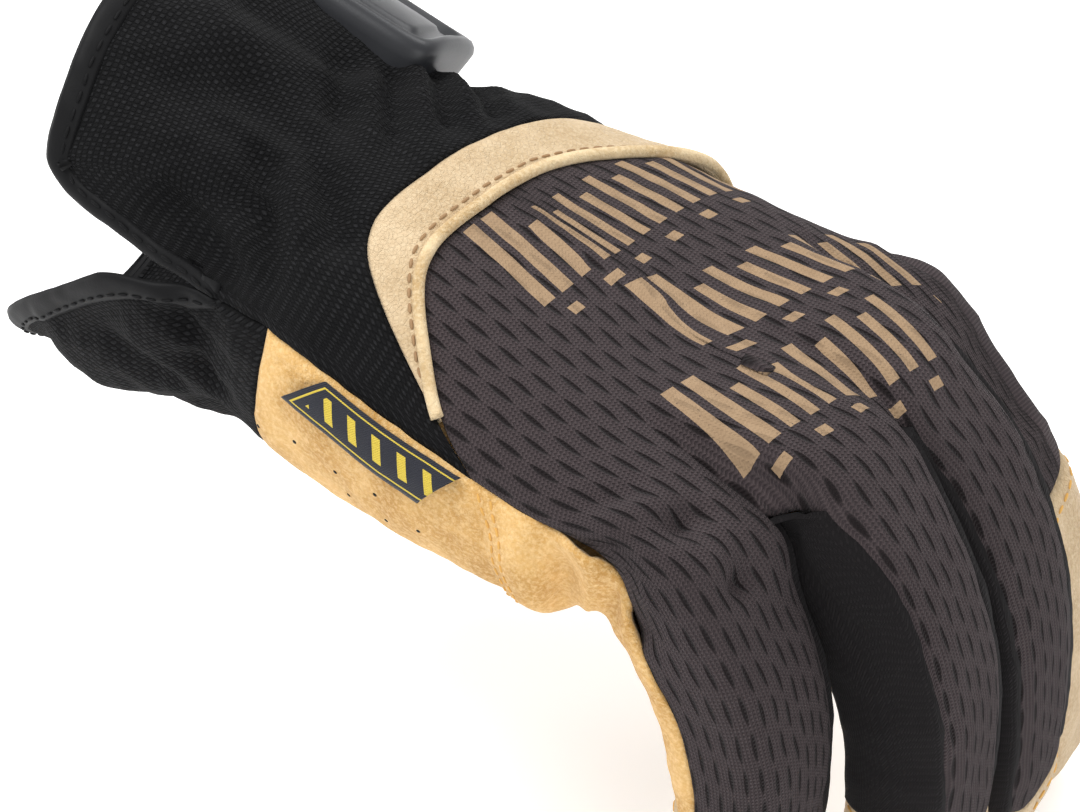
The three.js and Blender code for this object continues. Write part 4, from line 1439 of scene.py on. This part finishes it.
@dataclass
class WristBand:
    """Pale crescent over the back of the wrist, with a folded bead and a stitch line.

    Attributes:
        finishes: The materials.
        narrowest: Width at which its two points end.
    """

    finishes: Finishes
    narrowest: float = 0.8

    def build(self) -> None:
        """Makes the band."""
        shares, strips, edge = [], [], []
        for share in np.linspace(0.08, 1, steps_for(110)):
            a = edge_at(BAND_CUFF_EDGE, share, True)
            b = edge_at(BAND_HAND_EDGE, share, True)
            if b - a <= self.narrowest:
                continue
            shares.append(share)
            x = np.linspace(a, b, steps_for(16) + 1)
            strips.append(hand_point(x, turn_at(share, x, True)))
            edge.append((b, float(turn_at(share, b, True))))
        skin = Skin("wrist band")
        skin.add(Patch.from_strips(strips, list(np.array(shares) * 100), [0.0] * len(strips)))
        skin.weld()
        skin.shape(BAND_CREASES, 0.35, 0.8, 0.45)
        band = skin.finish(1.8, Cloth.PALE, self.finishes.pale, "wrist_band")
        x, turn = np.array(edge).T
        p, n = skin_frame(hand_point, x - 0.75, turn)
        bead = Thread("band bead", self.finishes.bead, Cloth.PALE)
        bead.cord(p + n * 0.35, n, 1.1)
        bead.finish()
        seam = Thread("band stitches", self.finishes.brown_thread, Cloth.PALE)
        p, n = seam.seat(band, *skin_frame(hand_point, x - 2.7, turn))
        seam.stitches(p, n, 1.9, 0.9, 0.24)
        seam.finish()


@dataclass(frozen=True)
class Badge:
    """Moulded rubber badge on the cuff: a curved plate, its raised rim round a sunk bare panel.

    Attributes:
        x: Its ends along the cuff.
        turn: Its ends round the cuff.
        lift: How far it stands off the cuff.
        bend: Radius that it is bent to.
        tilt: Turn about its length, degrees, as the gathers push it up.
        taper: Share that its thumb side is shorter by.
        square: Power that squares its corners.
        count: Points round it.
        profile: Inset and height, from its skirt to its middle.
    """

    x: tuple[float, float] = (33.0, 71.0)
    turn: tuple[float, float] = (0.365, 0.48)
    lift: float = 6.2
    bend: float = 55.0
    tilt: float = 15.0
    taper: float = 0.12
    square: float = 0.34
    count: int = 128
    profile: tuple[tuple[float, float], ...] = (
        (0.8, -4.5), (0.2, -0.5), (0, 1.2), (0.4, 2.3), (1.2, 3.0), (2.2, 3.1), (3.0, 2.7), (3.5, 1.7),
        (4.2, 1.3), (6, 1.3), (6.6, 1.6), (7.0, 2.0), (8.0, 2.1), (12, 2.2), (99, 2.2),
    )

    def frame(self) -> tuple[Array, Array, Array, Array]:
        """Centre of the plate and its directions along, across and outwards."""
        turn = sum(self.turn) / 2
        middle, out = skin_frame(hand_point, np.array([sum(self.x) / 2]), np.array([turn]))
        ends = hand_point(np.array(self.x), turn)
        along = (ends[1] - ends[0]) / np.linalg.norm(ends[1] - ends[0])
        normal = out[0] - (out[0] @ along) * along
        normal /= np.linalg.norm(normal)
        tilt = math.radians(self.tilt)
        normal = normal * math.cos(tilt) - np.cross(normal, along) * math.sin(tilt)
        return middle[0] + out[0] * self.lift, along, np.cross(normal, along), normal

    def build(self, rubber: bpy.types.Material) -> None:
        """Makes the badge."""
        centre, along, across, normal = self.frame()
        half_x = (self.x[1] - self.x[0]) / 2
        half_v = 0.5 * (self.turn[1] - self.turn[0]) * CUFF_ROUND
        strips = []
        for angle in np.linspace(0, 2 * math.pi, self.count + 1):
            c, s = math.cos(angle), math.sin(angle)
            slope = 1 - self.taper * (1 + s) / 2
            ring = []
            for inset, height in self.profile:
                x = math.copysign(abs(c) ** self.square, c) * max(half_x * slope - inset, 0.0)
                v = math.copysign(abs(s) ** self.square, s) * max(half_v - inset, 0.0) / self.bend
                bow = normal * (self.bend * math.cos(v) - self.bend + height)
                ring.append(centre + along * x + across * self.bend * math.sin(v) + bow)
            strips.append(np.array(ring))
        skin = Skin("cuff badge")
        skin.add(Patch.from_strips(strips, range(len(strips)), [0.0] * len(strips)))
        skin.weld()
        bmesh.ops.recalc_face_normals(skin.bm, faces=skin.bm.faces)
        make_piece(skin.bm, skin.name, rubber, "cuff_badge")


@dataclass(frozen=True)
class SideLabel:
    """Woven label caught in the side seam.

    Attributes:
        corners: Its corners in order round it, x and turn.
        size: Its length and height.
        lift: How far its seam edge stands off the skin.
        bulge: How much farther the free edge stands off.
    """

    corners: tuple[tuple[float, float], ...] = ((83.8, 0.022), (111.8, 0.006), (118.5, 0.053), (91.2, 0.061))
    size: tuple[float, float] = (36.0, 13.0)
    lift: float = 1.5
    bulge: float = 0.5

    def build(self, woven: bpy.types.Material) -> None:
        """Makes the label."""
        a, b, c, d = self.corners
        u = np.linspace(0, 1, steps_for(self.size[0]) + 1)
        rows = np.linspace(0, 1, steps_for(self.size[1]) + 1)
        strips = []
        for v in rows:
            low = np.outer(1 - u, a) + np.outer(u, b)
            high = np.outer(1 - u, d) + np.outer(u, c)
            flat = low * (1 - v) + high * v
            p, out = skin_frame(hand_point, flat[:, 0], flat[:, 1])
            strips.append(p + out * (self.lift + self.bulge * math.cos(math.pi * v / 2)))
        skin = Skin("side label")
        skin.add(Patch.from_strips(strips, rows * self.size[1], [0.0] * len(rows)))
        skin.weld()
        skin.shape((), 0.25, 0.1)
        skin.finish(0.8, Cloth.LABEL, woven, "side_label")


@dataclass
class Cuff:
    """Black cuff in two halves with its bound hem, notch, badge and side label.

    Attributes:
        finishes: The materials.
        binding: Width of the binding.
        under: How far the cloth reaches under the binding.
        stitch_line: Place of the stitches from the binding's inner edge.
    """

    finishes: Finishes
    binding: float = 5.0
    under: float = 1.8
    stitch_line: float = 1.1

    @staticmethod
    def hem(rows: Array, count: int) -> tuple[Array, Array]:
        """Even points of a hem with their directions, on the flat cuff."""
        flat = rows * np.array([1.0, CUFF_ROUND])
        fine = spline(flat, np.linspace(0, len(rows) - 1, 400))
        line = resample(np.hstack([fine, np.zeros((len(fine), 1))]), 0.25)[:, :2]
        at = line[np.round(np.linspace(0, len(line) - 1, count + 1)).astype(int)]
        way = np.gradient(at, axis=0)
        return at, way / np.linalg.norm(way, axis=1, keepdims=True)

    @staticmethod
    def inside(spot: Array, inward: Array, reach: Array | float, on_seam: bool) -> Array:
        """Places this far inside the hem, x and turn, kept on the side seam where they belong to it."""
        x, v = (spot + np.multiply.outer(reach, inward)).T
        return np.array([x, seam_turn(x) if on_seam else v / CUFF_ROUND])

    def strips(self, rows: Array, above: bool, edge: Array) -> tuple[list[Array], list[Array], Array]:
        """Lines of one half, from its hem to where it meets its neighbour.

        Args:
            rows: Hem of the half, x and turn.
            above: Whether the half is the back one.
            edge: Where it meets its neighbour, x over turn.

        Returns:
            Lines of the cloth, lines of the binding, and the stitch line as x and turn.
        """
        count = steps_for(130)
        at, way = self.hem(rows, count)
        cloth, tape, line = [], [], []
        for k in range(count + 1):
            share = k / count
            inward = np.array([way[k, 1], -way[k, 0]]) * (1 if above else -1)
            clear = min(1.0, min(share, 1 - share) * 40)
            inward = inward * clear + np.array([1.0, 0.0]) * (1 - clear)
            inward /= np.linalg.norm(inward)
            tape_reach = np.linspace(0, self.binding, steps_for(5, 4) + 1)
            tape.append(hand_point(*self.inside(at[k], inward, tape_reach, k == 0)))
            line.append(self.inside(at[k], inward, self.binding - self.stitch_line, k == 0))
            x0, turn0 = self.inside(at[k], inward, self.binding - self.under, k == 0)
            reach = share**0.8
            x1 = edge_at(edge, reach, above)
            turn1 = turn_at(reach, x1, above)
            f = np.linspace(0, 1, steps_for(45) + 1)
            x = x0 + (x1 - x0) * f
            bend = seam_turn(x) - (seam_turn(x0) + (seam_turn(x1) - seam_turn(x0)) * f)
            cloth.append(hand_point(x, turn0 + (turn1 - turn0) * f + bend * (1 - share) ** 3))
        return cloth, tape, np.array(line).T

    def half(self, rows: Array, above: bool, edge: Array, name: str) -> None:
        """Makes one half with its binding and hem stitches."""
        cloth, tape, line = self.strips(rows, above, edge)
        side = np.linspace(0, 130, len(cloth))
        start = [0.0] * len(cloth)
        skin = Skin(f"cuff {name}")
        skin.add(Patch.from_strips(cloth, side, start), not above)
        skin.weld()
        skin.shape(CUFF_FORMS, 0.9, 0.5)
        skin.finish(1.5, Cloth.WOVEN, self.finishes.woven, f"cuff_{name}")
        hem = Skin(f"binding {name}")
        hem.add(Patch.from_strips(tape, side, start), not above)
        hem.weld()
        hem.shape(CUFF_FORMS, 0.5, 0.9, 0.7)
        binding = hem.finish(2.6, Cloth.TAPE, self.finishes.tape, f"binding_{name}")
        seam = Thread(f"hem stitches {name}", self.finishes.black_thread, Cloth.TAPE)
        seam.stitches(*seam.seat(binding, *skin_frame(hand_point, *line)), 2.2, 0.9, 0.26)
        seam.finish()

    def build(self) -> None:
        """Makes the cuff."""
        self.half(HEM_BACK, True, BAND_CUFF_EDGE, "back")
        self.half(HEM_PALM, False, PALM_REAR, "palm")
        Badge().build(self.finishes.rubber)
        SideLabel().build(self.finishes.label)


@dataclass(frozen=True)
class Studio:
    """Pale floor, soft light and the camera of the photograph.

    Attributes:
        azimuth: How far round the camera stands, degrees.
        elevation: How high it stands, degrees.
        distance: How far away it stands.
        scale: Pixels to a millimetre at the target.
        target: Point that it is aimed by.
        target_pixel: Where that point shows in the photograph.
        size: Width and height of the photograph, pixels.
        sensor: Width of the camera's sensor.
    """

    azimuth: float = 30.0
    elevation: float = 42.0
    distance: float = 680.0
    scale: float = 6.0
    target: tuple[float, float, float] = (115.0, -8.0, -22.0)
    target_pixel: tuple[float, float] = (575.0, 345.0)
    size: tuple[int, int] = (1080, 812)
    sensor: float = 36.0

    def axes(self) -> tuple[Vector, Vector, Vector]:
        """Directions back to the camera, to its right and up."""
        a, e = math.radians(self.azimuth), math.radians(self.elevation)
        back = Vector((math.sin(a) * math.cos(e), -math.cos(a) * math.cos(e), math.sin(e)))
        right = Vector((math.cos(a), math.sin(a), 0))
        return back, right, back.cross(right)

    def camera(self) -> None:
        """Makes the camera."""
        back, right, up = self.axes()
        target = Vector((np.array(self.target) - MOUTH) * MM)
        centre = target + right * (self.size[0] / 2 - self.target_pixel[0]) / self.scale * MM
        centre -= up * (self.size[1] / 2 - self.target_pixel[1]) / self.scale * MM
        data = bpy.data.cameras.new("camera")
        data.sensor_width = self.sensor
        data.lens = self.scale * self.distance / self.size[0] * self.sensor
        data.clip_start, data.clip_end = 0.05, 20.0
        camera = bpy.data.objects.new("camera", data)
        bpy.context.scene.collection.objects.link(camera)
        camera.location = target + back * self.distance * MM
        camera.rotation_mode = "QUATERNION"
        camera.rotation_quaternion = (centre - camera.location).to_track_quat("-Z", "Y")
        bpy.context.scene.camera = camera

    def lamp(self, name: str, at: tuple[float, float, float], size: float, power: float) -> None:
        """Makes one soft area lamp that looks at the glove."""
        data = bpy.data.lights.new(name, "AREA")
        data.shape = "DISK"
        data.size = size
        data.energy = power
        lamp = bpy.data.objects.new(name, data)
        bpy.context.scene.collection.objects.link(lamp)
        lamp.location = at
        way = Vector((0.1, 0.0, -0.03)) - Vector(at)
        lamp.rotation_mode = "QUATERNION"
        lamp.rotation_quaternion = way.to_track_quat("-Z", "Y")

    def build(self) -> None:
        """Makes floor, lamps, world and camera."""
        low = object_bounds()[0].z
        mesh = bpy.data.meshes.new("floor")
        bm = bmesh.new()
        bmesh.ops.create_grid(bm, x_segments=1, y_segments=1, size=6.0)
        bm.to_mesh(mesh)
        bm.free()
        floor = bpy.data.objects.new("floor", mesh)
        floor.location = (0, 0, low - 0.001)
        bpy.context.scene.collection.objects.link(floor)
        paint = Shader("floor", 0.9)
        paint.feed(paint.bsdf.inputs["Emission Color"], linear("#ffffff"))
        paint.feed(paint.bsdf.inputs["Emission Strength"], 0.32)
        mesh.materials.append(paint.done(linear("#f4f4f4")))
        floor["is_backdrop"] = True
        world = bpy.data.worlds.new("world")
        world.use_nodes = True
        world.node_tree.nodes["Background"].inputs[0].default_value = (1, 1, 1, 1)
        world.node_tree.nodes["Background"].inputs[1].default_value = 0.72
        bpy.context.scene.world = world
        self.lamp("key", (-0.45, -0.15, 0.9), 0.6, 9.5)
        self.lamp("fill", (0.9, -0.5, 0.5), 0.8, 3.5)
        self.lamp("rim", (0.1, 0.9, 0.8), 0.6, 5.0)
        bpy.context.scene.view_settings.view_transform = "Standard"
        self.camera()


def main() -> None:
    """Dresses the frame and sets the stage."""
    finishes = Finishes()
    hand = HandPanels(finishes)
    hand.build()
    for part in (Thumb(finishes, hand.thumb_border), Tips(finishes), WristBand(finishes), Cuff(finishes)):
        part.build()
        LOG.info("built %s", type(part).__name__)
    Studio().build()


if __name__ == "__main__":
    main()
